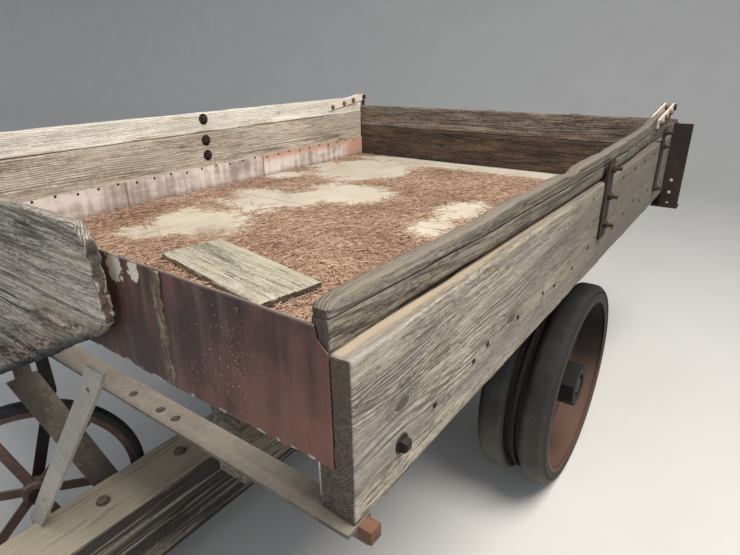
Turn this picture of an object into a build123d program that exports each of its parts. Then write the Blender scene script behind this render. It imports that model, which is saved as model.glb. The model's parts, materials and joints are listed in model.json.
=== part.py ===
from build123d import *
import math
import os

# A two-wheeled farm wagon: a plank box on one axle with twin wheels, a timber
# tongue and a small parking wheel beside it. Sizes are in millimetres. +X is
# to the right when one faces the rear, +Y is to the rear and +Z is up, with
# the ground at 0. Driving sizes come first; the rest is worked out from them.

# Box
deck = 948.0              # tops of the cross members, on which planks and floor lie
box_front = -540.0        # front face of the steel sheet
box_half = 1015.0         # outer faces of the side planks
wall_length = 2638.0
plank_thick = 38.0
plank_high = 286.0
board_thick = 32.0
board_joint = {"left": 308.0, "right": 332.0}   # joint between the two inner boards
left_wall_high = 409.0
right_wall_high = 394.0
front_wear = 48.0         # how far the right wall's front end has worn down
floor_thick = 18.0
floor_setback = 100.0     # the floor's front strip is missing
floor_gap = 3.0
strip_wide = 90.0         # the floor's rear strip
strip_joint_x = 500.0
kick_high = 119.0
sheet_thick = 3.0
sheet_low = 89.0
sheet_high = 233.0
seam_x = 594.0
seam_wide = 20.0

# Old boards across the front
old_thick = 28.0
old_wide = 182.0
old_gap = 2.0
old_top = 386.0
cleat_thick = 18.0
cleat_wide = 70.0
cleat_high = 370.0
cleats_in = (90.0, 720.0)      # middles of the cleats, from the boards' left end

# Under the box
joist_wide = 90.0
joist_high = 90.0
joist_count = 6
first_joist = 150.0       # front face of the first cross member behind the sheet
sill_x = 520.0
sill_wide = 90.0
hanger_drop = 37.5       # from the spring eyes' centres up to the sills
angle_wide = 56.0
angle_deep = 64.0
angle_thick = 8.0
angle_ahead = 18.0        # how far the front cross angle reaches ahead of the sheet
angle_hole_r = 9.5
angle_holes_in = (592.0, 496.0, 447.0)   # from the front cross angle's right end

# Straps and posts
strap_thick = 6.0
eye_strap_ahead = 346.0   # from the walls' rear ends to the straps' front ends
eye_strap_rise = 48.0
eye_strap_high = 38.0
eye_strap_thick = 7.0
post_start = 2535.0
post_leg = 82.0
post_flat = 76.0
post_thick = 8.0
post_low = 60.0
post_high = 342.0
post_hole_r = 8.0

# Axle, wheels and springs
axle_y = 900.0
axle_square = 64.0
spindle_r = 30.0
running_gap = 0.05
tyre_r = 400.0
tyre_wide = 98.0
tyre_deep = 48.0
inner_wheel_x = 800.0
outer_wheel_x = 954.0
flange_thick = 6.0
flange_rise = 20.0
rim_thick = 12.0
disc_thick = 10.0
hub_seat_r = 90.0
hub_r = 78.0
hub_flange_r = 150.0
hub_end = 1000.0
hub_inner_end = 740.0
nut_af = 66.0
nut_recess_r = 46.0
leaf_thick = 10.0
leaf_wide = 60.0
leaf_count = 6
leaf_half = 480.0
leaf_step = 68.0
leaf_radius = 975.0
spring_pad = 12.0
eye_r = 22.0
eye_pin_r = 10.0
u_bolt_r = 8.0

# Tongue
tongue_half = 100.0
tongue_deep = 250.0
tongue_front = -2040.0
tongue_behind = 120.0
tongue_tip_deep = 110.0
tongue_tip_long = 180.0
tongue_taper_long = 400.0
seat_thick = 10.0
seat_long = 160.0
clamp_rod_r = 10.0
hitch_thick = 12.0
hitch_half = 50.0
hitch_reach = 60.0
hitch_overlap = 200.0
hitch_pin_r = 16.0

# Braces between tongue and box
brace_wide = 70.0
brace_thick = 10.0
brace_hole_r = 7.0
brace_holes_at = (0.20, 0.976)   # shares of the brace's long run, from the tongue
plate_wide = 82.0
plate_thick = 8.0

# Parking wheel: a narrow wheel on one arm, whose castor is left turned to the right
park_x = -268.0
park_y = -570.0
park_r = 327.0
park_turn = 25.0
park_wide = 44.0
park_tyre_deep = 26.0
park_rim_deep = 22.0
park_rim_thick = 8.0
park_lip = 5.0
park_hub_r = 38.0
park_pin_r = 14.0
park_gap = 10.0
park_spokes = 6
park_spoke_wide = 30.0
park_first_spoke = 48.0
arm_thick = 12.0
arm_wide = 34.0
arm_rake_long = 106.0     # how far the arm's knee stands behind the wheel's centre
knee_drop = 300.0         # from the deck down to the knee

# Straw on the floor
straw_deep = 10.0
straw_edge = 8.0          # clear of the walls and of the fallen board
bare_patches = (
    # across, along from the box's front, half width, half length
    (-590, 2140, 240, 250),
    (-280, 1610, 200, 155),
    (-515, 1335, 225, 100),
    (-540, 1150, 190, 45),
    (-485, 860, 190, 150),
    (-555, 610, 90, 60),
    (360, 1640, 85, 140),
    (385, 1335, 75, 95),
    (-845, 1770, 65, 100),
)

# Fallen board
fallen_long = 590.0
fallen_wide = 225.0
fallen_x = 125.0
fallen_behind = 548.0     # its middle behind the box's front
fallen_turn = -10.0

# Endgate
gate_gap = 6.0
gate_thick = 40.0
gate_end_gap = 5.0        # from the side planks' outer faces
gate_low = 18.0
gate_joint = 215.0
gate_high = 350.0
hinge_behind = 22.0       # hinge bolts behind the walls' rear ends
hinge_above = 55.0        # and above the endgate's top
hinge_bolt_r = 9.0
hinge_play = 0.5
hinge_head_af = 27.0
hinge_head_thick = 10.0
hinge_side_gap = 4.0      # between a hinge strap and the eye straps beside it
gate_batten_wide = 60.0
gate_strap_thick = 6.0
gate_battens_in = 510.0   # middles of the plain straps, from the gate's ends

wall_rear = box_front + wall_length
board_face = box_half - plank_thick
inner_half = board_face - board_thick
gate_half = box_half - gate_end_gap
sides = (("left", -1), ("right", 1))
os.makedirs("parts", exist_ok=True)


def write(piece, name):
    piece.label = name
    export_step(piece, f"parts/{name}.step")


def box_between(x, y, z):
    """A squared piece between two limits along each axis, in any order."""
    with BuildPart() as piece:
        with BuildSketch(Plane.XY.offset(min(z))):
            with Locations(((x[0] + x[1]) / 2, (y[0] + y[1]) / 2)):
                Rectangle(abs(x[1] - x[0]), abs(y[1] - y[0]))
        extrude(amount=abs(z[1] - z[0]))
    return piece.part


def side_profile(x, thick, outline):
    """A flat piece of the given thickness standing along the wagon, from (y, z) points."""
    with BuildPart() as piece:
        with BuildSketch(Plane.YZ.offset(min(x, x + thick))):
            with BuildLine():
                Polyline(*outline, close=True)
            make_face()
        extrude(amount=abs(thick))
    return piece.part


def cross_profile(y, thick, outline):
    """A flat piece of the given thickness standing across the wagon, from (x, z) points."""
    with BuildPart() as piece:
        with BuildSketch(Plane(origin=(0, y, 0), x_dir=(1, 0, 0), z_dir=(0, -1, 0))):
            with BuildLine():
                Polyline(*outline, close=True)
            make_face()
        extrude(amount=-thick)
    return piece.part


def turned(y, z, outline):
    """A solid turned about an axle along X through (y, z), from (x, radius) points."""
    with BuildPart() as piece:
        with BuildSketch(Plane(origin=(0, y, z), x_dir=(1, 0, 0), z_dir=(0, -1, 0))):
            with BuildLine():
                Polyline(*outline, close=True)
            make_face()
        revolve(axis=Axis((0, y, z), (1, 0, 0)))
    return piece.part


# Side walls: a wide outer plank, and two boards inside it that stand higher
for side, s in sides:
    with BuildPart() as outer_plank:
        with BuildSketch(Plane.YZ.offset(min(s * board_face, s * box_half))):
            with Locations((box_front + wall_length / 2, deck + plank_high / 2)):
                Rectangle(wall_length, plank_high)
            fillet(vertices().group_by(Axis.Y)[-1], radius=5)
        extrude(amount=plank_thick)
    write(outer_plank.part, f"outer_plank_{side}")

    front = box_front + sheet_thick
    joint = deck + board_joint[side]
    write(
        box_between((s * inner_half, s * board_face), (front, wall_rear), (deck, joint)),
        f"inner_board_lower_{side}",
    )

top = deck + left_wall_high
write(
    box_between((-inner_half, -board_face), (front, wall_rear), (deck + board_joint["left"], top)),
    "inner_board_upper_left",
)

# The right upper board is rounded at the front and worn along its top
top = deck + right_wall_high
worn_outline = [
    (front, joint),
    (front, top - front_wear),
    (front + 14, top - 0.6 * front_wear),
    (front + 45, top - 0.33 * front_wear),
    (front + 300, top - 0.16 * front_wear),
    (front + 905, top - 0.3 * front_wear),
    (front + 985, top - 0.5 * front_wear),
    (front + 1030, top - 0.16 * front_wear),
    (wall_rear, top),
    (wall_rear, joint),
]
write(side_profile(inner_half, board_thick, worn_outline), "inner_board_upper_right")

# Floor: two large sheets and a strip in two lengths at the rear
floor_front = box_front + floor_setback
strip_front = wall_rear - strip_wide
middle = (floor_front + strip_front) / 2
with BuildPart() as floor:
    for x0, x1, y0, y1 in (
        (-inner_half, inner_half, floor_front, middle - floor_gap),
        (-inner_half, inner_half, middle, strip_front - floor_gap),
        (-inner_half, strip_joint_x, strip_front, wall_rear),
        (strip_joint_x + floor_gap, inner_half, strip_front, wall_rear),
    ):
        with BuildSketch(Plane.XY.offset(deck)):
            with Locations(((x0 + x1) / 2, (y0 + y1) / 2)):
                Rectangle(x1 - x0, y1 - y0)
        extrude(amount=floor_thick)
write(floor.part, "floor")
floor_top = deck + floor_thick

# Steel kick strips in three lengths along the foot of each wall
kick_joints = (0, 830, 1682, wall_length)
with BuildPart() as kick_strips:
    with BuildSketch(Plane.XY.offset(floor_top)):
        for start, end in zip(kick_joints, kick_joints[1:]):
            y0 = max(box_front + start, front) + floor_gap
            y1 = box_front + end
            for x in (-inner_half + sheet_thick / 2, inner_half - sheet_thick / 2):
                with Locations((x, (y0 + y1) / 2)):
                    Rectangle(sheet_thick, y1 - y0)
    extrude(amount=kick_high)
write(kick_strips.part, "kick_strips")

# Front sheet in two pieces, lapped at a seam, with a torn upper corner
sheet_top = deck + sheet_low + sheet_high
left_sheet = [
    (-board_face, deck + sheet_low),
    (seam_x, deck + sheet_low),
    (seam_x, sheet_top),
    (-board_face, sheet_top),
]
write(cross_profile(box_front, sheet_thick, left_sheet), "front_sheet_left")
right_sheet = [
    (seam_x, deck + sheet_low),
    (board_face, deck + sheet_low),
    (board_face, sheet_top - 39),
    (board_face - 20, sheet_top - 20),
    (board_face - 24, sheet_top),
    (seam_x, sheet_top),
]
with BuildPart() as front_sheet_right:
    with BuildSketch(Plane(origin=(0, box_front, 0), x_dir=(1, 0, 0), z_dir=(0, -1, 0))):
        with BuildLine():
            Polyline(*right_sheet, close=True)
        make_face()
    extrude(amount=-sheet_thick)
    with BuildSketch(Plane(origin=(0, box_front, 0), x_dir=(1, 0, 0), z_dir=(0, -1, 0))):
        with Locations((seam_x, deck + sheet_low + sheet_high / 2)):
            Rectangle(seam_wide, sheet_high)
    extrude(amount=sheet_thick)
write(front_sheet_right.part, "front_sheet_right")

# Old boards nailed to cleats ahead of the sheet, rotted away at the right end
old_back = box_front - cleat_thick
old_tops = [deck + old_top - n * (old_wide + old_gap) for n in range(3)]
old_ends = {
    "upper": [(478, old_tops[0] - old_wide), (470, old_tops[0] - 30), (440, old_tops[0])],
    "middle": [(162, old_tops[1] - old_wide), (287, deck + 89), (434, deck + 159), (476, old_tops[1])],
    "lower": [(-214, old_tops[2] - old_wide), (-49, deck - 82), (158, old_tops[2])],
}
for (name, end), board_top in zip(old_ends.items(), old_tops):
    outline = [(-box_half, board_top), (-box_half, board_top - old_wide), *end]
    write(cross_profile(old_back - old_thick, old_thick, outline), f"old_board_{name}")

with BuildPart() as front_cleats:
    for x in cleats_in:
        with BuildSketch(Plane.XY.offset(deck)):
            with Locations((x - box_half, box_front - cleat_thick / 2)):
                Rectangle(cleat_wide, cleat_thick)
        extrude(amount=cleat_high)
write(front_cleats.part, "front_cleats")

# Cross members under the floor
joist_half = inner_half + board_thick / 2
rear_joist = box_front + post_start - joist_wide
joist_pitch = (rear_joist - box_front - first_joist) / (joist_count - 1)
with BuildPart() as floor_joists:
    with BuildSketch(Plane.XY.offset(deck - joist_high)):
        with Locations((0, (box_front + first_joist + rear_joist + joist_wide) / 2)):
            with GridLocations(1, joist_pitch, 1, joist_count):
                Rectangle(2 * joist_half, joist_wide)
    extrude(amount=joist_high)
write(floor_joists.part, "floor_joists")

axle_z = tyre_r
axle_top = axle_z + axle_square / 2
axle_bottom = axle_z - axle_square / 2
pack_bottom = axle_top + spring_pad
pack_deep = leaf_count * leaf_thick
arc_z = pack_bottom + pack_deep + leaf_radius
eye_angle = leaf_half / leaf_radius
eye_radius = leaf_radius + leaf_thick - eye_r
eye_centre_y = eye_radius * math.sin(eye_angle)
eye_centre_z = arc_z - eye_radius * math.cos(eye_angle)

# The two long sills rest on the hangers of the leaf springs
sill_top = deck - joist_high
sill_bottom = eye_centre_z + hanger_drop
sill_ends = (box_front + first_joist, rear_joist + joist_wide)
with BuildPart() as sills:
    with BuildSketch(Plane.XY.offset(sill_bottom)):
        for x in (-sill_x, sill_x):
            with Locations((x, (sill_ends[0] + sill_ends[1]) / 2)):
                Rectangle(sill_wide, sill_ends[1] - sill_ends[0])
    extrude(amount=sill_top - sill_bottom)
write(sills.part, "sills")

# Steel cross angles at the front and rear of the box
angle_back = box_front - angle_ahead + angle_wide
angle_front_section = [
    (angle_back - angle_wide, deck),
    (angle_back - angle_wide, deck - angle_thick),
    (angle_back - angle_thick, deck - angle_thick),
    (angle_back - angle_thick, deck - angle_deep),
    (angle_back, deck - angle_deep),
    (angle_back, deck),
]
with BuildPart() as cross_angle_front:
    with BuildSketch(Plane.YZ.offset(-box_half)):
        with BuildLine():
            Polyline(*angle_front_section, close=True)
        make_face()
    extrude(amount=2 * box_half)
    with Locations([(box_half - x, box_front + 5, deck) for x in angle_holes_in]):
        Hole(radius=angle_hole_r, depth=angle_thick + 1)
write(cross_angle_front.part, "cross_angle_front")

rear_front = wall_rear - angle_wide
angle_rear_section = [
    (rear_front, deck),
    (rear_front, deck - post_low),
    (rear_front + angle_thick, deck - post_low),
    (rear_front + angle_thick, deck - angle_thick),
    (wall_rear, deck - angle_thick),
    (wall_rear, deck),
]
write(side_profile(-box_half, 2 * box_half, angle_rear_section), "cross_angle_rear")

write(
    box_between((box_half, box_half + 25), (box_front + 5, box_front + 30), (deck - 25, deck)),
    "corner_block",
)

# Flat straps on the outer planks, and angle posts with foot plates near the rear
strap_table = (
    # start along the wall, width, low end, high end
    (1274, 75, 100, 354),
    (2234, 69, 68, 348),
)
post_front = box_front + post_start
with BuildPart() as side_straps:
    for x in (-box_half - strap_thick, box_half):
        with BuildSketch(Plane.YZ.offset(x)):
            for start, wide, low, high in strap_table:
                with Locations((box_front + start + wide / 2, deck + (low + high) / 2)):
                    RectangleRounded(wide, high - low, 6)
        extrude(amount=strap_thick)
write(side_straps.part, "side_straps")

with BuildPart() as corner_posts:
    for side, s in sides:
        with BuildSketch(Plane.XY.offset(deck - post_low)):
            with Locations((s * (box_half + post_thick / 2), post_front + post_flat / 2)):
                Rectangle(post_thick, post_flat)
            with Locations((s * (box_half + post_leg / 2), post_front + post_thick / 2)):
                Rectangle(post_leg, post_thick)
        extrude(amount=post_low + post_high)
        with BuildSketch(Plane.XY.offset(deck - post_low - post_thick)):
            with Locations((s * (box_half + (post_leg - 37) / 2), post_front + post_flat / 2)):
                Rectangle(post_leg + 37, post_flat)
        extrude(amount=post_thick)
        for height in (72, 11, -45):
            hole_at = (s * (box_half + 35), post_front + post_thick, deck + height)
            with Locations(Plane(origin=hole_at, z_dir=(0, 1, 0))):
                Hole(radius=post_hole_r, depth=post_thick)
write(corner_posts.part, "corner_posts")

# Flat straps with eyes on both faces of each wall's end, and the endgate's hinge bolts
gate_front = wall_rear + gate_gap
gate_back = gate_front + gate_thick
hinge_y = wall_rear + hinge_behind
hinge_z = deck + gate_high + hinge_above
strap_front = wall_rear - eye_strap_ahead
strap_half = eye_strap_high / 2
eye_strap_outline = [
    (strap_front, hinge_z - eye_strap_rise - strap_half),
    (hinge_y, hinge_z - strap_half),
    (hinge_y, hinge_z + strap_half),
    (strap_front, hinge_z - eye_strap_rise + strap_half),
]
with BuildPart() as eye_straps:
    for side, s in sides:
        for x in (s * board_face, s * (inner_half - eye_strap_thick)):
            with BuildSketch(Plane.YZ.offset(min(x, x + s * eye_strap_thick))):
                with BuildLine():
                    Polyline(*eye_strap_outline, close=True)
                make_face()
                with Locations((hinge_y, hinge_z)):
                    Circle(strap_half)
                    Circle(hinge_bolt_r + running_gap, mode=Mode.SUBTRACT)
            extrude(amount=eye_strap_thick)
write(eye_straps.part, "eye_straps")

outer_eye = board_face + eye_strap_thick
inner_eye = inner_half - eye_strap_thick
with BuildPart() as hinge_bolts:
    for side, s in sides:
        for start, long, shape in (
            (inner_eye - hinge_head_thick, outer_eye - inner_eye + 2 * hinge_head_thick, "round"),
            (inner_eye - hinge_head_thick, hinge_head_thick, "head"),
            (outer_eye, hinge_head_thick, "head"),
        ):
            with BuildSketch(Plane(origin=(s * start, hinge_y, hinge_z), z_dir=(s, 0, 0))):
                if shape == "round":
                    Circle(hinge_bolt_r)
                else:
                    RegularPolygon(hinge_head_af / 2, 6, major_radius=False)
            extrude(amount=long)
write(hinge_bolts.part, "hinge_bolts")

# Endgate: two boards on plain straps, hung by a hinge strap at each end
write(
    box_between((-gate_half, gate_half), (gate_front, gate_back), (deck + gate_low, deck + gate_joint)),
    "gate_board_lower",
)
write(
    box_between((-gate_half, gate_half), (gate_front, gate_back), (deck + gate_joint, deck + gate_high)),
    "gate_board_upper",
)

strap_low = deck + gate_low + 20
with BuildPart() as gate_battens:
    for x in (gate_battens_in - gate_half, 0, gate_half - gate_battens_in):
        with BuildSketch(Plane.YZ.offset(x - gate_batten_wide / 2)):
            with Locations((gate_back + gate_strap_thick / 2, (strap_low + deck + gate_high) / 2)):
                Rectangle(gate_strap_thick, deck + gate_high - strap_low)
        extrude(amount=gate_batten_wide)
write(gate_battens.part, "gate_battens")

ring_bore = hinge_bolt_r + hinge_play
ring_r = ring_bore + gate_strap_thick
hinge_strap_wide = board_thick - 2 * hinge_side_gap
ring_top = hinge_z + ring_r
with BuildPart() as gate_hinges:
    for side, s in sides:
        x = s * (inner_half + board_thick / 2)
        with BuildSketch(Plane.YZ.offset(x - hinge_strap_wide / 2)):
            with Locations((gate_back + gate_strap_thick / 2, (strap_low + ring_top) / 2)):
                Rectangle(gate_strap_thick, ring_top - strap_low)
            with Locations(((hinge_y + gate_back + gate_strap_thick) / 2, ring_top - gate_strap_thick / 2)):
                Rectangle(gate_back + gate_strap_thick - hinge_y, gate_strap_thick)
            with Locations((hinge_y, hinge_z)):
                Circle(ring_r)
                Circle(ring_bore, mode=Mode.SUBTRACT)
        extrude(amount=hinge_strap_wide)
write(gate_hinges.part, "gate_hinges")

# Axle: a square beam with a turned spindle and nut at each end
beam_half = hub_inner_end - 5
recess_floor = hub_end - 32
with BuildPart() as axle:
    with BuildSketch(Plane(origin=(-beam_half, axle_y, axle_z), z_dir=(1, 0, 0))):
        Rectangle(axle_square, axle_square)
    extrude(amount=2 * beam_half)
    with BuildSketch(Plane(origin=(-hub_end + 3, axle_y, axle_z), z_dir=(1, 0, 0))):
        Circle(spindle_r)
    extrude(amount=2 * (hub_end - 3))
    for s in (-1, 1):
        with BuildSketch(Plane(origin=(s * (recess_floor + 5), axle_y, axle_z), z_dir=(s, 0, 0))):
            RegularPolygon(nut_af / 2, 6, major_radius=False)
        extrude(amount=18)
write(axle.part, "axle")

# Twin wheels: dished rims bolted back to back on the hub, and rubber tyres
seat_r = tyre_r - tyre_deep
flange_r = seat_r + flange_rise
half = tyre_wide / 2
rim_half = half - 2
disc_x = (inner_wheel_x + outer_wheel_x) / 2
for side, s in sides:
    for place, centre, inward in (("inner", inner_wheel_x, 1), ("outer", outer_wheel_x, -1)):
        tyre_section = [
            (-rim_half + flange_thick, seat_r),
            (-rim_half + flange_thick, flange_r + 1),
            (-half, flange_r + 8),
            (-half + 15, tyre_r),
            (half - 15, tyre_r),
            (half, flange_r + 8),
            (rim_half - flange_thick, flange_r + 1),
            (rim_half - flange_thick, seat_r),
        ]
        tyre = [(s * (centre + x), r) for x, r in tyre_section]
        write(turned(axle_y, axle_z, tyre), f"tyre_{place}_{side}")

        # Along the axle from the wheel's centre plane, towards the twin's joint
        disc_face = abs(disc_x - centre)
        rim_section = [
            (-rim_half, flange_r),
            (-rim_half + flange_thick, flange_r),
            (-rim_half + flange_thick, seat_r),
            (rim_half - flange_thick, seat_r),
            (rim_half - flange_thick, flange_r),
            (rim_half, flange_r),
            (rim_half, seat_r - rim_thick - 4),
            (disc_face, 0.5 * seat_r),
            (disc_face, hub_seat_r),
            (disc_face - disc_thick, hub_seat_r),
            (disc_face - disc_thick, 0.5 * seat_r),
            (rim_half - disc_thick, seat_r - rim_thick),
            (-rim_half, seat_r - rim_thick),
        ]
        rim = [(s * (centre + inward * x), r) for x, r in rim_section]
        write(turned(axle_y, axle_z, rim), f"rim_{place}_{side}")

    hub_section = [
        (hub_inner_end, spindle_r + running_gap),
        (hub_inner_end, hub_r - 8),
        (disc_x - disc_thick - 14, hub_r - 8),
        (disc_x - disc_thick - 14, hub_flange_r),
        (disc_x - disc_thick, hub_flange_r),
        (disc_x - disc_thick, hub_seat_r),
        (disc_x + disc_thick, hub_seat_r),
        (disc_x + disc_thick, hub_r),
        (hub_end - 95, hub_r),
        (hub_end - 95, spindle_r + running_gap),
    ]
    with BuildPart() as hub:
        with BuildSketch(Plane(origin=(0, axle_y, axle_z), x_dir=(1, 0, 0), z_dir=(0, -1, 0))):
            with BuildLine():
                Polyline(*[(s * x, r) for x, r in hub_section][::s], close=True)
            make_face()
        revolve(axis=Axis((0, axle_y, axle_z), (1, 0, 0)))
        with BuildSketch(Plane(origin=(s * (hub_end - 95), axle_y, axle_z), z_dir=(s, 0, 0))):
            RegularPolygon(hub_r, 8, major_radius=False, rotation=22.5)
            Circle(spindle_r + running_gap, mode=Mode.SUBTRACT)
        extrude(amount=95)
        with BuildSketch(Plane(origin=(s * recess_floor, axle_y, axle_z), z_dir=(s, 0, 0))):
            Circle(nut_recess_r)
        extrude(amount=hub_end - recess_floor, mode=Mode.SUBTRACT)
    write(hub.part, f"hub_{side}")

    clamp_ring = [
        (s * (disc_x + disc_thick), hub_r),
        (s * (disc_x + disc_thick), hub_flange_r),
        (s * (disc_x + disc_thick + 12), hub_flange_r),
        (s * (disc_x + disc_thick + 12), hub_r),
    ]
    write(turned(axle_y, axle_z, clamp_ring), f"wheel_clamp_{side}")

# Leaf springs: a stepped pack with rolled eyes, held to the axle by square bolts
bolt_y = axle_square / 2 + u_bolt_r + 3
bolt_x = leaf_wide / 2 + u_bolt_r + 3
plate_long = 2 * (bolt_y + u_bolt_r + 8)
plate_across = 2 * (bolt_x + u_bolt_r + 6)
with BuildPart() as leaf_springs:
    for side, s in sides:
        for leaf in range(leaf_count):
            near = leaf_radius + leaf * leaf_thick
            far = near + leaf_thick
            angle = math.degrees((leaf_half - leaf * leaf_step) / leaf_radius)
            with BuildSketch(Plane.YZ.offset(s * sill_x - leaf_wide / 2)):
                with BuildLine():
                    CenterArc((axle_y, arc_z), near, 270 - angle, 2 * angle)
                    CenterArc((axle_y, arc_z), far, 270 - angle, 2 * angle)
                    for turn in (270 - angle, 270 + angle):
                        c = math.cos(math.radians(turn))
                        d = math.sin(math.radians(turn))
                        Line(
                            (axle_y + near * c, arc_z + near * d),
                            (axle_y + far * c, arc_z + far * d),
                        )
                make_face()
            extrude(amount=leaf_wide)
        with BuildSketch(Plane.YZ.offset(s * sill_x - leaf_wide / 2)):
            with Locations((axle_y - eye_centre_y, eye_centre_z), (axle_y + eye_centre_y, eye_centre_z)):
                Circle(eye_r)
        extrude(amount=leaf_wide)
        with BuildSketch(Plane.YZ.offset(s * sill_x - leaf_wide / 2)):
            with Locations((axle_y - eye_centre_y, eye_centre_z), (axle_y + eye_centre_y, eye_centre_z)):
                Circle(eye_pin_r)
        extrude(amount=leaf_wide, mode=Mode.SUBTRACT)
        for z0, z1 in (
            (axle_top, pack_bottom + 3),
            (pack_bottom + pack_deep - 3, pack_bottom + pack_deep + spring_pad),
            (axle_bottom - spring_pad, axle_bottom),
        ):
            with BuildSketch(Plane.XY.offset(z0)):
                with Locations((s * sill_x, axle_y)):
                    Rectangle(plate_across, plate_long)
            extrude(amount=z1 - z0)
        with BuildSketch(Plane.XY.offset(axle_bottom - spring_pad - 14)):
            with Locations((s * sill_x, axle_y)):
                with GridLocations(2 * bolt_x, 2 * bolt_y, 2, 2):
                    Circle(u_bolt_r)
        extrude(amount=pack_bottom + pack_deep + spring_pad + 14 - axle_bottom + spring_pad + 14)
write(leaf_springs.part, "leaf_springs")

with BuildPart() as spring_hangers:
    for side, s in sides:
        for y in (axle_y - eye_centre_y, axle_y + eye_centre_y):
            with BuildSketch(Plane.YZ.offset(s * sill_x - leaf_wide / 2 - 10)):
                with Locations((y, (sill_bottom + eye_centre_z) / 2)):
                    Rectangle(2 * eye_r, sill_bottom - eye_centre_z)
                with Locations((y, eye_centre_z)):
                    Circle(eye_r)
            extrude(amount=leaf_wide + 20)
        with BuildSketch(Plane.YZ.offset(s * sill_x - leaf_wide / 2 - 1)):
            for y in (axle_y - eye_centre_y, axle_y + eye_centre_y):
                with Locations((y, eye_centre_z + (sill_bottom - 8 - eye_centre_z) / 2 - 50)):
                    Rectangle(2 * eye_r + 4, sill_bottom - 8 - eye_centre_z + 100)
        extrude(amount=leaf_wide + 2, mode=Mode.SUBTRACT)
        with BuildSketch(Plane.YZ.offset(s * sill_x - leaf_wide / 2 - 14)):
            with Locations((axle_y - eye_centre_y, eye_centre_z), (axle_y + eye_centre_y, eye_centre_z)):
                Circle(eye_pin_r)
        extrude(amount=leaf_wide + 28)
write(spring_hangers.part, "spring_hangers")

# Tongue: a timber under the axle that tapers to a level tip
tongue_top = axle_bottom - seat_thick
tongue_bottom = tongue_top - tongue_deep
tip_bottom = tongue_top - tongue_tip_deep
taper_start = tongue_front + tongue_taper_long
tongue_outline = [
    (tongue_front, tongue_top),
    (axle_y + tongue_behind, tongue_top),
    (axle_y + tongue_behind, tongue_bottom),
    (taper_start, tongue_bottom),
    (tongue_front + tongue_tip_long, tip_bottom),
    (tongue_front, tip_bottom),
]
write(side_profile(-tongue_half, 2 * tongue_half, tongue_outline), "tongue")

rod_x = tongue_half + clamp_rod_r + 3
rod_off = axle_square / 2 + clamp_rod_r + 2
with BuildPart() as tongue_clamp:
    with BuildSketch(Plane.XY.offset(tongue_top)):
        with Locations((0, axle_y)):
            Rectangle(2 * tongue_half, seat_long)
    extrude(amount=seat_thick)
    for z0 in (axle_top, tongue_bottom - seat_thick):
        with BuildSketch(Plane.XY.offset(z0)):
            with Locations((0, axle_y)):
                Rectangle(2 * (rod_x + clamp_rod_r + 6), 2 * (rod_off + clamp_rod_r + 6))
        extrude(amount=seat_thick)
    with BuildSketch(Plane.XY.offset(tongue_bottom - seat_thick - 12)):
        with Locations((0, axle_y)):
            with GridLocations(2 * rod_x, 2 * rod_off, 2, 2):
                Circle(clamp_rod_r)
    extrude(amount=axle_top + 2 * seat_thick + 24 - tongue_bottom)
write(tongue_clamp.part, "tongue_clamp")

hitch_y = tongue_front - hitch_reach
with BuildPart() as hitch:
    for z0 in (tongue_top, tip_bottom - hitch_thick):
        with BuildSketch(Plane.XY.offset(z0)):
            with Locations((0, (hitch_y + tongue_front + hitch_overlap - 40) / 2)):
                Rectangle(2 * hitch_half, tongue_front + hitch_overlap - 40 - hitch_y)
            with Locations((0, hitch_y)):
                Circle(hitch_half)
                Circle(hitch_pin_r, mode=Mode.SUBTRACT)
        extrude(amount=hitch_thick)
write(hitch.part, "hitch_plates")

# Pale brace from the tongue's top edge up to the front cross angle
brace_stations = (
    # height, x of the bar's middle, y of its back face
    (tongue_top, -tongue_half, box_front - 90),
    (deck - angle_thick, 305, box_front - angle_ahead),
    (deck + 45, 342, box_front - angle_ahead),
)
with BuildPart() as brace_bar:
    for lower, upper in zip(brace_stations, brace_stations[1:]):
        for z, x, y in (lower, upper):
            with BuildSketch(Plane.XY.offset(z)):
                with Locations((x, y - brace_thick / 2)):
                    Rectangle(brace_wide, brace_thick)
        loft(ruled=True)
    with BuildSketch(Plane.XY.offset(tongue_top - 90)):
        with Locations((-tongue_half - brace_wide / 4, box_front - 90 - brace_thick / 2)):
            Rectangle(brace_wide / 2, brace_thick)
    extrude(amount=90)
    foot, bend = brace_stations[:2]
    for share in brace_holes_at:
        z, x, y = (a + share * (b - a) for a, b in zip(foot, bend))
        with Locations(Plane(origin=(x, y + 4, z), z_dir=(0, 1, 0))):
            Hole(radius=brace_hole_r, depth=40)
write(brace_bar.part, "brace_bar")

# Wide flat bar from the tongue's side up behind the old boards
bar_x = -tongue_half - plate_thick / 2
bend_z = deck - 185
top_x = -195
with BuildPart() as brace_plate:
    with BuildSketch(Plane.XY.offset(tongue_top - 100)):
        with Locations((bar_x, box_front + 117)):
            Rectangle(plate_thick, plate_wide)
    extrude(amount=85)
    with BuildSketch(Plane.XY.offset(tongue_top - 15)):
        with Locations((bar_x, box_front + 117)):
            Rectangle(plate_thick, plate_wide)
    with BuildSketch(Plane.XY.offset(bend_z)):
        with Locations((top_x, box_front + 1)):
            Rectangle(plate_thick, plate_wide)
    loft(ruled=True)
    plate_front = old_back + 2
    plate_rear = angle_back - angle_thick - 2
    with BuildSketch(Plane.XY.offset(bend_z)):
        with Locations((top_x, (plate_front + plate_rear) / 2)):
            Rectangle(plate_thick, plate_rear - plate_front)
    extrude(amount=deck - angle_thick - bend_z)
write(brace_plate.part, "brace_plate")

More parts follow.
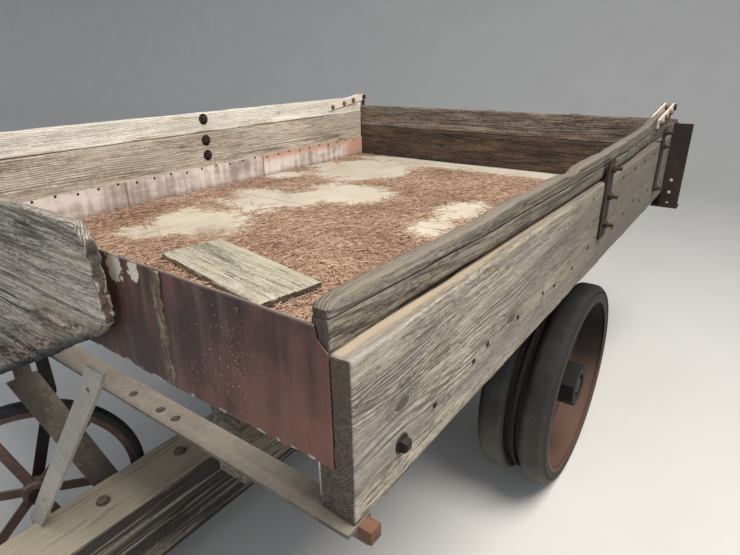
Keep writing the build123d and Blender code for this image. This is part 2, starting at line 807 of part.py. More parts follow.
# Parking wheel beside the tongue on a one-armed castor under the first cross member
castor = Axis((park_x, park_y, 0), (0, 0, 1))
arm_x = park_x - park_wide / 2 - park_gap - arm_thick
knee = (park_y + arm_rake_long, deck - knee_drop)
foot = (park_y, park_r)
rake = math.degrees(math.atan2(knee[1] - foot[1], knee[0] - foot[0]))
head_z = deck - angle_deep - angle_thick
head_front = angle_back - angle_thick
head_rear = box_front + first_joist
with BuildPart() as castor_arm:
    with BuildSketch(Plane.YZ.offset(arm_x)):
        with Locations((knee[0], (knee[1] + head_z) / 2)):
            Rectangle(arm_wide, head_z - knee[1])
        with Locations(((knee[0] + foot[0]) / 2, (knee[1] + foot[1]) / 2)):
            SlotCenterToCenter(math.dist(knee, foot), arm_wide, rotation=rake)
        with Locations(foot):
            Circle(park_pin_r + 14)
            Circle(park_pin_r, mode=Mode.SUBTRACT)
    extrude(amount=arm_thick)
turned_arm = castor_arm.part.rotate(castor, -park_turn)
arm_top = turned_arm.faces().sort_by(Axis.Z)[-1].center()
with BuildPart() as parking_arm:
    add(turned_arm)
    with BuildSketch(Plane.XY.offset(head_z)):
        with Locations((arm_top.X, (head_front + head_rear) / 2)):
            Rectangle(2.5 * arm_wide, head_rear - head_front)
    extrude(amount=angle_thick)
write(parking_arm.part, "parking_arm")

with BuildPart() as parking_pin:
    with BuildSketch(Plane(origin=(arm_x - park_gap, park_y, park_r), z_dir=(1, 0, 0))):
        Circle(park_pin_r)
    extrude(amount=park_x + park_wide / 2 + 2 * park_gap - arm_x)
    with BuildSketch(Plane(origin=(park_x + park_wide / 2 + 2, park_y, park_r), z_dir=(1, 0, 0))):
        RegularPolygon(1.5 * park_pin_r, 6, major_radius=False)
    extrude(amount=park_gap)
write(parking_pin.part.rotate(castor, -park_turn), "parking_pin")

park_half = park_wide / 2
park_seat = park_r - park_tyre_deep
lip = park_half - park_lip
parking_tyre = [
    (park_x - lip, park_seat),
    (park_x - park_half, park_seat + 0.3 * park_tyre_deep),
    (park_x - park_half + 2, park_r - 6),
    (park_x - park_half + 9, park_r),
    (park_x + park_half - 9, park_r),
    (park_x + park_half - 2, park_r - 6),
    (park_x + park_half, park_seat + 0.3 * park_tyre_deep),
    (park_x + lip, park_seat),
]
write(turned(park_y, park_r, parking_tyre).rotate(castor, -park_turn), "parking_tyre")

rim_inside = park_seat - park_rim_deep
spoke_out = park_seat - park_rim_thick
with BuildPart() as parking_rim:
    rim_section = [
        (park_x - lip, park_seat),
        (park_x - lip, rim_inside),
        (park_x - lip + park_lip, rim_inside),
        (park_x - lip + park_lip, spoke_out),
        (park_x + lip - park_lip, spoke_out),
        (park_x + lip - park_lip, rim_inside),
        (park_x + lip, rim_inside),
        (park_x + lip, park_seat),
    ]
    with BuildSketch(Plane(origin=(0, park_y, park_r), x_dir=(1, 0, 0), z_dir=(0, -1, 0))):
        with BuildLine():
            Polyline(*rim_section, close=True)
        make_face()
    revolve(axis=Axis((0, park_y, park_r), (1, 0, 0)))
    with BuildSketch(Plane.YZ.offset(park_x - park_rim_thick / 2)):
        with Locations((park_y, park_r)):
            with PolarLocations((park_hub_r + spoke_out) / 2, park_spokes, start_angle=park_first_spoke):
                Rectangle(spoke_out - park_hub_r + 8, park_spoke_wide)
    extrude(amount=park_rim_thick)
    with BuildSketch(Plane.YZ.offset(park_x - park_half)):
        with Locations((park_y, park_r)):
            Circle(park_hub_r)
    extrude(amount=park_wide)
    with BuildSketch(Plane.YZ.offset(park_x - park_half)):
        with Locations((park_y, park_r)):
            Circle(park_pin_r + running_gap)
    extrude(amount=park_wide, mode=Mode.SUBTRACT)
write(parking_rim.part.rotate(castor, -park_turn), "parking_rim")

# Straw lies in one thin layer with bare patches, round the fallen board
straw_half = inner_half - sheet_thick - straw_edge
straw_ends = (floor_front + straw_edge, wall_rear - straw_edge)
with BuildPart() as straw_layer:
    with BuildSketch(Plane.XY.offset(floor_top)):
        with Locations((0, (straw_ends[0] + straw_ends[1]) / 2)):
            Rectangle(2 * straw_half, straw_ends[1] - straw_ends[0])
        for x, along, half_wide, half_long in bare_patches:
            with Locations((x, box_front + along)):
                Ellipse(half_wide, half_long, mode=Mode.SUBTRACT)
        with Locations((fallen_x, box_front + fallen_behind)):
            Rectangle(
                fallen_long + 2 * straw_edge,
                fallen_wide + 2 * straw_edge,
                rotation=fallen_turn,
                mode=Mode.SUBTRACT,
            )
    extrude(amount=straw_deep)
write(straw_layer.part, "straw_layer")

# A fallen board that lies loose on the floor
with BuildPart() as fallen_board:
    with BuildSketch(Plane.XY.offset(floor_top)):
        with Locations((fallen_x, box_front + fallen_behind)):
            Rectangle(fallen_long, fallen_wide, rotation=fallen_turn)
    extrude(amount=board_thick)
write(fallen_board.part, "fallen_board")
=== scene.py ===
# %% [markdown]
# # A weathered farm wagon
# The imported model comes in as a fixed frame: every solid at its real size and place, in metres.
# Timber is then swapped for boards with worn edges, wheels for turned forms, and everything
# gets a finish worked out from noise, so no picture is needed.

# %% The frame
import json
import math

import bmesh
import bpy
import numpy as np
from mathutils import Matrix, Vector, noise


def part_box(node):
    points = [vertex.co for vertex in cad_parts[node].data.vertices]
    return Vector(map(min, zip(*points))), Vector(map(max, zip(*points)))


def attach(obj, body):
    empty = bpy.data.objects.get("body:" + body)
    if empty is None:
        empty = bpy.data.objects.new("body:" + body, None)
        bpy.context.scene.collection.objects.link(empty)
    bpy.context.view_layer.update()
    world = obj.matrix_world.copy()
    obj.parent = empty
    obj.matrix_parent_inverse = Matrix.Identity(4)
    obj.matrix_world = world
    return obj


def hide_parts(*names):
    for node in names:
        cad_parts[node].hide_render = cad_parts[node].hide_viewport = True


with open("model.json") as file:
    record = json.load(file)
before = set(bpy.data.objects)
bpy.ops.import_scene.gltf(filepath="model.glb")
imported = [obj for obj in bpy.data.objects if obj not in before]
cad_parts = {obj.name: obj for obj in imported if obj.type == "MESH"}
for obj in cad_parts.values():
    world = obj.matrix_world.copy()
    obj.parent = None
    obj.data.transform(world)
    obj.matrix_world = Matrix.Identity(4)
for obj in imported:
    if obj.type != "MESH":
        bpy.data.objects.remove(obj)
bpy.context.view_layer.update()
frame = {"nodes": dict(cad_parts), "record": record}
nodes = frame["nodes"]
body_of_node = {
    node: body
    for body, names in frame["record"]["behaviour"]["bodies"].items()
    for node in names
}
# Faces and heights that later steps measure from
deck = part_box("floor")[0][2]
floor_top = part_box("floor")[1][2]
box_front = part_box("front_sheet_left")[0][1]
wall_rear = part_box("outer_plank_right")[1][1]
OUTER_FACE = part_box("outer_plank_right")[1][0]
tongue_low, tongue_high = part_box("tongue")

# %% [markdown]
# ## Camera
# The view was solved from the box's straight edges: the camera stands ahead of the front right
# corner, a little above the wall, and looks down and across the bed. A lens is given by its focal
# length in pixels of the 740 pixel wide picture.

# %% The camera
PICTURE_WIDE, PICTURE_HIGH = 740, 555
SENSOR_WIDE = 36
FAR_ENOUGH = 100
FOCAL_PIXELS = 530.97
YAW, PITCH, ROLL = math.radians(-36.2433), math.radians(22.328), math.radians(0.7808)
CAMERA_AT = Vector((1.384, box_front - 0.459, deck + 0.644))

level_ahead = Vector((math.sin(YAW), math.cos(YAW), 0))
level_right = Vector((math.cos(YAW), -math.sin(YAW), 0))
ahead = level_ahead * math.cos(PITCH) - Vector((0, 0, 1)) * math.sin(PITCH)
down = -(Vector((0, 0, 1)) * math.cos(PITCH) + level_ahead * math.sin(PITCH))
right = level_right * math.cos(ROLL) + down * math.sin(ROLL)
under = down * math.cos(ROLL) - level_right * math.sin(ROLL)

camera_data = bpy.data.cameras.new("camera")
camera_data.sensor_width = SENSOR_WIDE
camera_data.lens = FOCAL_PIXELS / PICTURE_WIDE * SENSOR_WIDE
camera_data.clip_end = FAR_ENOUGH
camera = bpy.data.objects.new("camera", camera_data)
bpy.context.scene.collection.objects.link(camera)
turn = Matrix((right, -under, -ahead)).transposed().to_4x4()
camera.matrix_world = Matrix.Translation(CAMERA_AT) @ turn
bpy.context.scene.camera = camera


def seen_at(u, v, axis, level):
    """The point of the plane at this level of an axis that shows at pixel (u, v) of the picture."""
    ray = ahead * FOCAL_PIXELS + right * (u - PICTURE_WIDE / 2) + under * (v - PICTURE_HIGH / 2)
    return CAMERA_AT + ray * ((level - CAMERA_AT[axis]) / ray[axis])


print("lens", round(camera_data.lens, 2), "mm")

# %% [markdown]
# ## Finishes as expressions
# Old wood and rust need a lot of arithmetic on noise. A small class wraps one shader socket, so that
# `0.5 * grain + dirt` in Python adds the Math nodes for it, and the finish reads like a formula.


# %% Shader values
class Value:
    """One shader number; Python arithmetic on it adds Math nodes."""

    def __init__(self, finish, socket):
        self.finish = finish
        self.socket = socket

    def maths(self, operation, *others):
        sockets = dict(enumerate((self, *others)))
        return self.finish.node("ShaderNodeMath", {"operation": operation}, sockets)

    def __add__(self, other):
        return self.maths("ADD", other)

    __radd__ = __add__

    def __sub__(self, other):
        return self.maths("SUBTRACT", other)

    def __rsub__(self, other):
        return self.finish.node("ShaderNodeMath", {"operation": "SUBTRACT"}, {0: other, 1: self})

    def __mul__(self, other):
        return self.maths("MULTIPLY", other)

    __rmul__ = __mul__

    def __pow__(self, other):
        return self.maths("POWER", other)

    def __abs__(self):
        return self.maths("ABSOLUTE")

    def sine(self):
        return self.maths("SINE")

    def most(self, other):
        return self.maths("MAXIMUM", other)

    def least(self, other):
        return self.maths("MINIMUM", other)

    def rise(self, start, end):
        """0 below start and 1 above end, with a smooth step between; start may be the higher."""
        sockets = {"Value": self, "From Min": start, "From Max": end}
        return self.finish.node("ShaderNodeMapRange", {"interpolation_type": "SMOOTHSTEP"}, sockets)


class Finish:
    """A material that is built up from expressions."""

    def __init__(self, name, turned=0.0):
        self.material = bpy.data.materials.new(name)
        self.material.use_nodes = True
        self.tree = self.material.node_tree
        self.surface = self.tree.nodes["Principled BSDF"]
        place = self.node("ShaderNodeTexCoord", out="Object")
        if turned:
            place = self.node("ShaderNodeMapping", None, {"Vector": place, "Rotation": (0, 0, -turned)})
        split = self.tree.nodes.new("ShaderNodeSeparateXYZ")
        self.tree.links.new(place.socket, split.inputs[0])
        self.x, self.y, self.z = (Value(self, split.outputs[i]) for i in range(3))

    def node(self, kind, settings=None, sockets=None, out=0):
        made = self.tree.nodes.new(kind)
        for name, value in (settings or {}).items():
            if name == "stops":
                ramp = made.color_ramp.elements
                ramp[0].position, ramp[0].color = value[0][0], (*value[0][1], 1)
                ramp[1].position, ramp[1].color = value[-1][0], (*value[-1][1], 1)
                for position, colour in value[1:-1]:
                    ramp.new(position).color = (*colour, 1)
            else:
                setattr(made, name, value)
        for key, value in (sockets or {}).items():
            self.feed(made.inputs[key], value)
        return Value(self, made.outputs[out])

    def feed(self, socket, value):
        if isinstance(value, Value):
            self.tree.links.new(value.socket, socket)
        elif isinstance(value, tuple) and len(value) == 3 and socket.type == "RGBA":
            socket.default_value = (*value, 1)
        else:
            socket.default_value = value

    def vector(self, x, y, z):
        return self.node("ShaderNodeCombineXYZ", None, {0: x, 1: y, 2: z})

    def noise(self, x, y, z, detail=3.0, rough=0.5):
        sockets = {"Vector": self.vector(x, y, z), "Scale": 1.0, "Detail": detail, "Roughness": rough}
        return self.node("ShaderNodeTexNoise", None, sockets)

    def even(self, scale, detail=3.0, rough=0.5):
        """Noise of the same scale in all directions."""
        return self.noise(self.x * scale, self.y * scale, self.z * scale, detail, rough)

    def cells(self, x, y, z, feature="F1"):
        sockets = {"Vector": self.vector(x, y, z), "Scale": 1.0}
        return self.node("ShaderNodeTexVoronoi", {"feature": feature}, sockets)

    def mix(self, start, end, share):
        settings = {"data_type": "RGBA", "clamp_factor": True}
        return self.node("ShaderNodeMix", settings, {0: share, 6: start, 7: end}, out=2)

    def ramp(self, value, stops):
        return self.node("ShaderNodeValToRGB", {"stops": stops}, {0: value})

    def attribute(self, name):
        return self.node("ShaderNodeAttribute", {"attribute_name": name}, out="Fac")

    def facing(self, axis):
        """How far the surface looks along an axis, from -1 to 1."""
        normal = self.node("ShaderNodeNewGeometry", out="Normal")
        return self.node("ShaderNodeSeparateXYZ", None, {0: normal}, out=axis)

    def finish(self, colour, roughness=0.8, height=None, depth=0.002, metallic=0.0):
        self.feed(self.surface.inputs["Base Color"], colour)
        self.feed(self.surface.inputs["Roughness"], roughness)
        self.feed(self.surface.inputs["Metallic"], metallic)
        if height is not None:
            relief = {"Height": height, "Distance": depth, "Strength": 1.0}
            bump = self.node("ShaderNodeBump", None, relief)
            self.tree.links.new(bump.socket, self.surface.inputs["Normal"])
        return self.material


print("finishes can be written as formulas")

# %% [markdown]
# ## Weathered wood
# Sun and rain turn old boards grey and eat their soft spring wood, so thin dark lines of summer wood
# stand proud. The distance from a slightly tilted pith gives those lines, and knots push them aside.
# Long, very narrow noise gives the fibres between them. Colour and relief share both.


# %% Grain
def dim(colour, share):
    """A colour at a share of its strength; a share above 1 makes it lighter."""
    return tuple(share * value for value in colour)


class Timber(Finish):
    """A wood finish in the making: the grain's own axes, and the noises that its marks share."""

    def __init__(self, name, tones, along, across, seed, turned):
        super().__init__(name, turned)
        through = next(axis for axis in "xyz" if axis not in (along, across))
        self.end_axis, self.side_axis = along.upper(), through.upper()
        self.l, self.w, self.t = (getattr(self, axis) for axis in (along, across, through))
        self.tones = tones
        self.dark = dim(tones[0], 0.40)
        self.seed = seed
        l, w, t = self.l, self.w, self.t
        self.drift = self.noise(l * 0.9 + seed, w * 4.0, t * 4.0, detail=2.0) - 0.5
        self.fibre = self.noise(l * 9.0 + seed, w * 150.0, t * 150.0, detail=4.0, rough=0.72)
        self.hair = self.noise(l * 60.0, w * 260.0, t * 260.0, detail=2.0, rough=0.7)
        self.streak = self.noise(l * 2.2 + seed, w * 46.0, t * 46.0, detail=4.0, rough=0.68)
        self.blotch = self.noise(l * 3.4, w * 9.0 + seed, t * 9.0, detail=5.0, rough=0.6)
        self.up = self.facing("Z").rise(0.6, 0.95)

    def stain(self, tone, share):
        """Lays a tone over the colour so far."""
        self.colour = self.mix(self.colour, tone, share)

    def rings(self, ring, pith, tilt, cathedral, knots, bold):
        """The wave of the growth rings, and how clearly they show from place to place."""
        l, w, t = self.l, self.w, self.t
        wander = w - pith[0] - tilt * l + self.drift * 0.05
        patches = self.noise(l * 0.5 + self.seed, w * 10.0, t * 10.0, detail=2.0)
        shown = patches.rise(0.62 - 0.3 * bold, 0.80 - 0.3 * bold)
        for knot_l, knot_w, size in knots:
            reach = ((l - knot_l) * 0.40) ** 2.0 + (w - knot_w) ** 2.0
            bend = (reach * (-1.0 / (1.7 * size) ** 2)).maths("EXPONENT")
            wander = wander + bend * ((w - knot_w) * (2.5 / size)).maths("TANH") * size
            shown = shown.most(bend)
        distance = (wander ** 2.0 + (t - pith[1] - cathedral * l) ** 2.0) ** 0.5
        uneven = self.noise(distance * 60.0, self.seed, 0.0, detail=1.0)
        band = (distance * (2 * math.pi / ring) + uneven * 6.0).sine() * 0.5 + 0.5
        return band, shown

    def ground(self, line, tint, tint_share, cool):
        """Grey fibres with patches of a second tone and of a cooler one, under the dark ring lines."""
        l, w, t = self.l, self.w, self.t
        dark, mid, pale = self.tones
        shade = self.fibre * 0.36 + self.hair * 0.34 + self.streak * 0.22 + self.blotch * 0.18
        self.colour = self.ramp(shade, [(0.485, dark), (0.552, mid), (0.625, pale)])
        if tint:
            patches = self.noise(l * 2.0 + 7.0, w * 13.0 + self.seed, t * 13.0, detail=5.0, rough=0.7)
            self.stain(tint, patches.rise(0.72 - tint_share, 0.92 - tint_share) * 0.7)
        if cool:
            patches = self.noise(l * 1.4 + 3.0, w * 10.0 - self.seed, t * 10.0, detail=4.0, rough=0.6)
            self.stain(cool, patches.rise(0.46, 0.62) * 0.5)
        self.stain(dim(dark, 0.7), line * 0.75)
        self.height = line * 0.5 + self.fibre * 0.5 + self.hair * 0.4 + self.streak * 0.3


print("grain ready")

# %% [markdown]
# ### Marks of age
# Each mark is a small function that stains the colour and cuts the relief of a timber finish: knots,
# drying splits, the plank's worn ledge with its painted shade, the grooved side of the tongue painted
# dark as shade, brown rot, and end grain.

# %% Marks of age
KNOT_RING = 0.0042
LEDGE_DEEP = 0.012
CHARCOAL = (0.020, 0.021, 0.023)
END_BROWN = (0.085, 0.048, 0.030)


def knot_mark(m, knot_l, knot_w, size):
    """A knot: its own rings, a dark eye and a groove round it."""
    near = (((m.l - knot_l) * 0.50) ** 2.0 + (m.w - knot_w) ** 2.0) ** 0.5
    near = near + (m.streak - 0.5) * 0.2 * size
    own = (near * (2 * math.pi / KNOT_RING)).sine() * 0.5 + 0.5
    m.stain(m.tones[0], near.rise(0.95 * size, 0.75 * size) * own * 0.6)
    m.stain(dim(m.tones[0], 0.6), near.rise(0.40 * size, 0.26 * size) * (0.4 + m.streak * 0.8))
    m.height = m.height - near.rise(0.5 * size, 0.36 * size) * near.rise(0.2 * size, 0.36 * size) * 0.8


def splits(m, checks):
    """Open splits along the grain, and small pits between the fibres."""
    split = m.noise(m.l * 0.9 + m.seed, m.w * 48.0 + m.drift * 3.0, m.t * 48.0, detail=2.0)
    where = m.noise(m.l * 1.6, m.w * 14.0 + m.seed, m.t * 14.0, detail=2.0)
    where = where.rise(0.74 - 0.25 * checks, 0.80 - 0.25 * checks)
    open_split = abs(split - 0.5).rise(0.030, 0.008) * where
    m.stain(m.dark, open_split)
    m.height = m.height - open_split * 1.6
    m.stain(m.dark, m.hair.rise(0.57, 0.66) * m.fibre.rise(0.58, 0.46) * 0.6)


def ledge(m, tone):
    """The top of an outer plank: painted darker as shade against the light from above, and worn yellow
    towards the bed and the front.
    """
    inner = (abs(m.t) + m.streak * 0.020).rise(OUTER_FACE - 0.002, OUTER_FACE - LEDGE_DEEP)
    near_front = (m.l + m.blotch * 0.9).rise(box_front + 2.1, box_front + 0.9)
    # Painted shade: faces that look up are darkened to hold back the light from above.
    m.stain(m.tones[0], m.up * 0.45)
    m.stain(tone, m.up * inner * near_front * (0.55 + m.fibre * 0.7))


def grooves(m, tone):
    """The tongue's sides: painted dark as shade, with pale ridges that grow fewer towards the bottom."""
    side = abs(m.facing(m.side_axis)).rise(0.5, 0.9)
    lower = m.w.rise(tongue_high[2] - 0.03, tongue_high[2] - 0.13)
    ridge = m.noise(m.l * 1.1, m.w * 42.0 + m.seed, m.t * 42.0, detail=3.0, rough=0.6)
    ridge = (ridge + lower * 0.06).rise(0.55, 0.64)
    # Painted shade: the side faces take the dark tone, except on the ridges.
    m.stain(tone, side * (0.96 - ridge * 0.85))
    m.height = m.height + side * ridge * 1.4


def brown_rot(m, tone):
    """Rot in small cubes where the board is marked rotten, and near black wood where it is torn."""
    cubes = m.cells(m.l * 34.0, m.w * 85.0, m.t * 10.0, "DISTANCE_TO_EDGE").rise(0.24, 0.08)
    rotten = m.attribute("rotten")
    chunk = m.mix(dim(tone, 0.45), tone, (m.blotch * 0.7 + m.fibre * 0.4).rise(0.44, 0.66))
    m.stain(m.mix(chunk, m.dark, cubes), rotten * (0.55 + m.streak * 0.8))
    m.stain(CHARCOAL, m.attribute("torn") * (0.6 + m.streak * 0.7))
    m.height = m.height - cubes * rotten * 2.0


def end_grain(m, tone, band):
    """Speckled end grain, with the growth rings faint across it."""
    speck = m.noise(m.w * 130.0, m.t * 130.0, m.l * 40.0 + m.seed, detail=4.0, rough=0.75)
    grain = m.mix(dim(tone, 0.6), dim(tone, 1.7), speck.rise(0.36, 0.68))
    grain = m.mix(grain, END_BROWN, m.blotch.rise(0.46, 0.62) * 0.6)
    grain = m.mix(grain, m.tones[1], (band ** 4.0) * 0.13)
    m.stain(grain, abs(m.facing(m.end_axis)).rise(0.75, 0.92))


print("marks of age ready")

# %% [markdown]
# ### One call for a timber
# One call makes the finish of any timber. It lays the ground first and then the marks, one over the
# other, and leaves out those that are not asked for.


# %% Wood
def wood(
    name, tones, along="y", across="z", ring=0.005, pith=(0.0, 0.3), tilt=0.02, cathedral=0.02,
    knots=(), bold=0.5, checks=0.5, tint=None, tint_share=0.0, cool=None, ledge_tone=None,
    top_dust_and_shading=None, top_share=0.65, shaded_side_tone=None, far_shade_and_grime=None, worn_tone=None, end_tone=None,
    rot_tone=None, seed=0.0, depth=0.0012, turned=0.0,
):
    """Old timber whose grain runs along one axis; pith is the log's middle, across and in depth."""
    m = Timber(name, tones, along, across, seed, turned)
    band, shown = m.rings(ring, pith, tilt, cathedral, knots, bold)
    m.ground(band ** 2.5 * shown, tint, tint_share, cool)
    for place in knots:
        knot_mark(m, *place)
    splits(m, checks)
    # Darkens the wood towards the rear: painted shade for the light that falls off along the wall,
    # partly weathering.
    if far_shade_and_grime:
        start, end, share = far_shade_and_grime
        m.stain(tones[0], m.l.rise(start, end) * share)
    if ledge_tone:
        ledge(m, ledge_tone)
    if shaded_side_tone:
        grooves(m, shaded_side_tone)
    # Faces that look up take their own tone: painted light and shade against the lamp from above, with
    # pale dust where the tone is pale.
    if top_dust_and_shading:
        m.stain(top_dust_and_shading, m.up * (top_share + (m.fibre - 0.5) * 0.6))
    if worn_tone:
        m.stain(worn_tone, m.attribute("worn") * (0.5 + m.fibre * 0.6))
    if rot_tone:
        brown_rot(m, rot_tone)
    if end_tone:
        end_grain(m, end_tone, band)
    return m.finish(m.colour, 0.86, m.height, depth)


print("wood ready")

# %% [markdown]
# ## Steel, rust and rubber
# Bare and painted steel on this wagon is all rust of some age. Three scales of noise do it: broad
# patches of older and newer rust, speckle, and fine pits for the relief.


# %% Metal and rubber
def rusty(name, old, new, dust, dusting, metallic=0.15):
    """Rusted steel: an old and a new rust colour in patches, with pale dust on faces that look up."""
    m = Finish(name)
    broad = m.even(3.0, detail=5.0, rough=0.6)
    speckle = m.even(60.0, detail=4.0, rough=0.7)
    pits = m.even(350.0)
    colour = m.mix(old, new, (broad * 0.75 + speckle * 0.35).rise(0.48, 0.66))
    up = m.facing("Z").rise(0.2, 0.95)
    colour = m.mix(colour, dust, (up * 0.8 + speckle * 0.5).rise(0.35, 1.1) * dusting)
    return m.finish(colour, 0.75 + 0.1 * speckle, speckle * 0.6 + pits * 0.4, 0.0008, metallic)


def rubber(name, clean, dusty, crowns=()):
    """Black rubber under dust that clings to the treads, low on the wheel most of all."""
    m = Finish(name)
    broad = m.noise(m.x * 6.0, m.y * 5.0, m.z * 5.0, detail=5.0, rough=0.6)
    fine = m.even(240.0)
    low = m.z.rise(0.55, 0.05)
    dust = (broad * 0.6 + fine * 0.2 + low * 0.45).rise(0.34, 0.90)
    if crowns:
        nearest = abs(abs(m.x) - crowns[0]).least(abs(abs(m.x) - crowns[1]))
        dust = dust * nearest.rise(0.060, 0.030)
    return m.finish(m.mix(clean, dusty, dust), 0.82, broad * 0.5 + fine * 0.5, 0.0006)


# Old rust, new rust, dust, how much dust shows and, for two of them, how metallic the iron still is
METALS = {
    "dark_iron": ((0.009, 0.007, 0.006), (0.030, 0.016, 0.011), (0.06, 0.045, 0.036), 0.2, 0.2),
    "dusty_steel": ((0.075, 0.063, 0.050), (0.180, 0.152, 0.122), (0.20, 0.172, 0.138), 0.6),
    "bright_steel": ((0.520, 0.455, 0.385), (0.740, 0.650, 0.560), (0.82, 0.72, 0.61), 0.4),
    "pale_steel": ((0.300, 0.275, 0.240), (0.390, 0.360, 0.315), (0.50, 0.46, 0.40), 0.4),
    "rim_brown": ((0.090, 0.055, 0.045), (0.170, 0.095, 0.075), (0.30, 0.24, 0.20), 0.4),
    "orange_rust": ((0.07, 0.036, 0.022), (0.17, 0.080, 0.040), (0.16, 0.10, 0.065), 0.2),
    "brown_steel": ((0.085, 0.052, 0.038), (0.165, 0.100, 0.070), (0.30, 0.25, 0.20), 0.4),
    "spring_iron": ((0.030, 0.022, 0.018), (0.085, 0.050, 0.035), (0.20, 0.16, 0.12), 0.5),
    "hub_iron": ((0.006, 0.005, 0.005), (0.015, 0.010, 0.008), (0.03, 0.024, 0.018), 0.15, 0.3),
}
metals = {name: rusty(name, *values) for name, values in METALS.items()}
tyre_boxes = [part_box(f"tyre_{place}_right") for place in ("inner", "outer")]
TYRE_MIDDLES = [(low[0] + high[0]) / 2 for low, high in tyre_boxes]
tyre_rubber = rubber("tyre_rubber", (0.006, 0.006, 0.007), (0.105, 0.094, 0.072), TYRE_MIDDLES)
rubber_dark = rubber("rubber_dark", (0.012, 0.012, 0.012), (0.050, 0.045, 0.040))
print("finishes", len(bpy.data.materials))

# %% [markdown]
# ### From a finish to a piece
# A solid of the frame can simply be painted. A new mesh becomes a piece: it rides on a body of the
# wagon, hides the solids it stands in for, and takes a material slot.


# %% Painting and adding
def paint(name, material):
    """Gives a solid of the frame its finish."""
    node = nodes[name]
    if not node.material_slots:
        node.data.materials.append(material)
    for slot in node.material_slots:
        slot.material = material


def add_piece(name, mesh, material, body, replaces=(), smooth=True):
    """Puts a finished mesh in the scene, on its body, with its finish."""
    piece = bpy.data.objects.new(name, mesh)
    bpy.context.scene.collection.objects.link(piece)
    if material:
        mesh.materials.append(material)
    if smooth:
        mesh.shade_smooth()
    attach(piece, body)
    if replaces:
        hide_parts(*replaces)
    return piece


print("solids that can be painted", len(nodes))

# %% [markdown]
# ## Boards with worn edges
# A real old board has no sharp edge left. The skin of a box is cut into a grid, with lines crowded
# near the edges. Each corner is rounded by a radius that wanders along the board, which gives chips,
# and the faces sink a little along the grain. Boards that rotted short get an end that varies.

# %% Grid of a board
EDGE_LINES = (0.0015, 0.004, 0.009, 0.016)


def grid_lines(length, step):
    """Places of grid lines from 0 to length, crowded at both ends."""
    near = [value for value in EDGE_LINES if value < length * 0.3]
    start = [0.0, *near]
    inner = length - 2 * start[-1]
    count = max(1, round(inner / step))
    middle = [start[-1] + inner * i / count for i in range(1, count)]
    return np.array(start + middle + [length - value for value in reversed(start)])


def skin(lines):
    """Points and quads of the skin of a box with these grid lines along its three axes."""
    counts = [len(values) for values in lines]
    index = -np.ones(counts, dtype=int)
    inside = np.ones(counts, dtype=bool)
    for axis in range(3):
        ends = [slice(None)] * 3
        for end in (0, -1):
            ends[axis] = end
            inside[tuple(ends)] = False
    index[~inside] = np.arange((~inside).sum())
    points = np.stack(np.meshgrid(*lines, indexing="ij"), axis=-1)[~inside]
    quads = []
    for axis in range(3):
        for last in (False, True):
            face = index.take(-1 if last else 0, axis=axis)
            corners = (face[:-1, :-1], face[1:, :-1], face[1:, 1:], face[:-1, 1:])
            cut = np.stack(corners, axis=-1).reshape(-1, 4)
            outward = last == (axis != 1)
            quads.append(cut if outward else cut[:, ::-1])
    return points, np.concatenate(quads)


print("a 1 m board has", len(grid_lines(1.0, 0.014)), "grid lines along it")

# %% [markdown]
# ### Wearing a board
# Every point of the grid is moved: rounded at the edges, sunk along the grain, rotted where a
# function says so. How worn, rotten or torn each point is goes with the mesh, for the finish.

# %% Board meshes
TORN_BELOW = deck + 0.19
TORN_LONG = 0.036


def clamp(value):
    """Keeps a number between 0 and 1."""
    return min(1.0, max(0.0, value))


def ripple(x, y, z):
    """Smooth noise at a place, between -1 and 1."""
    return noise.noise(Vector((x, y, z)))


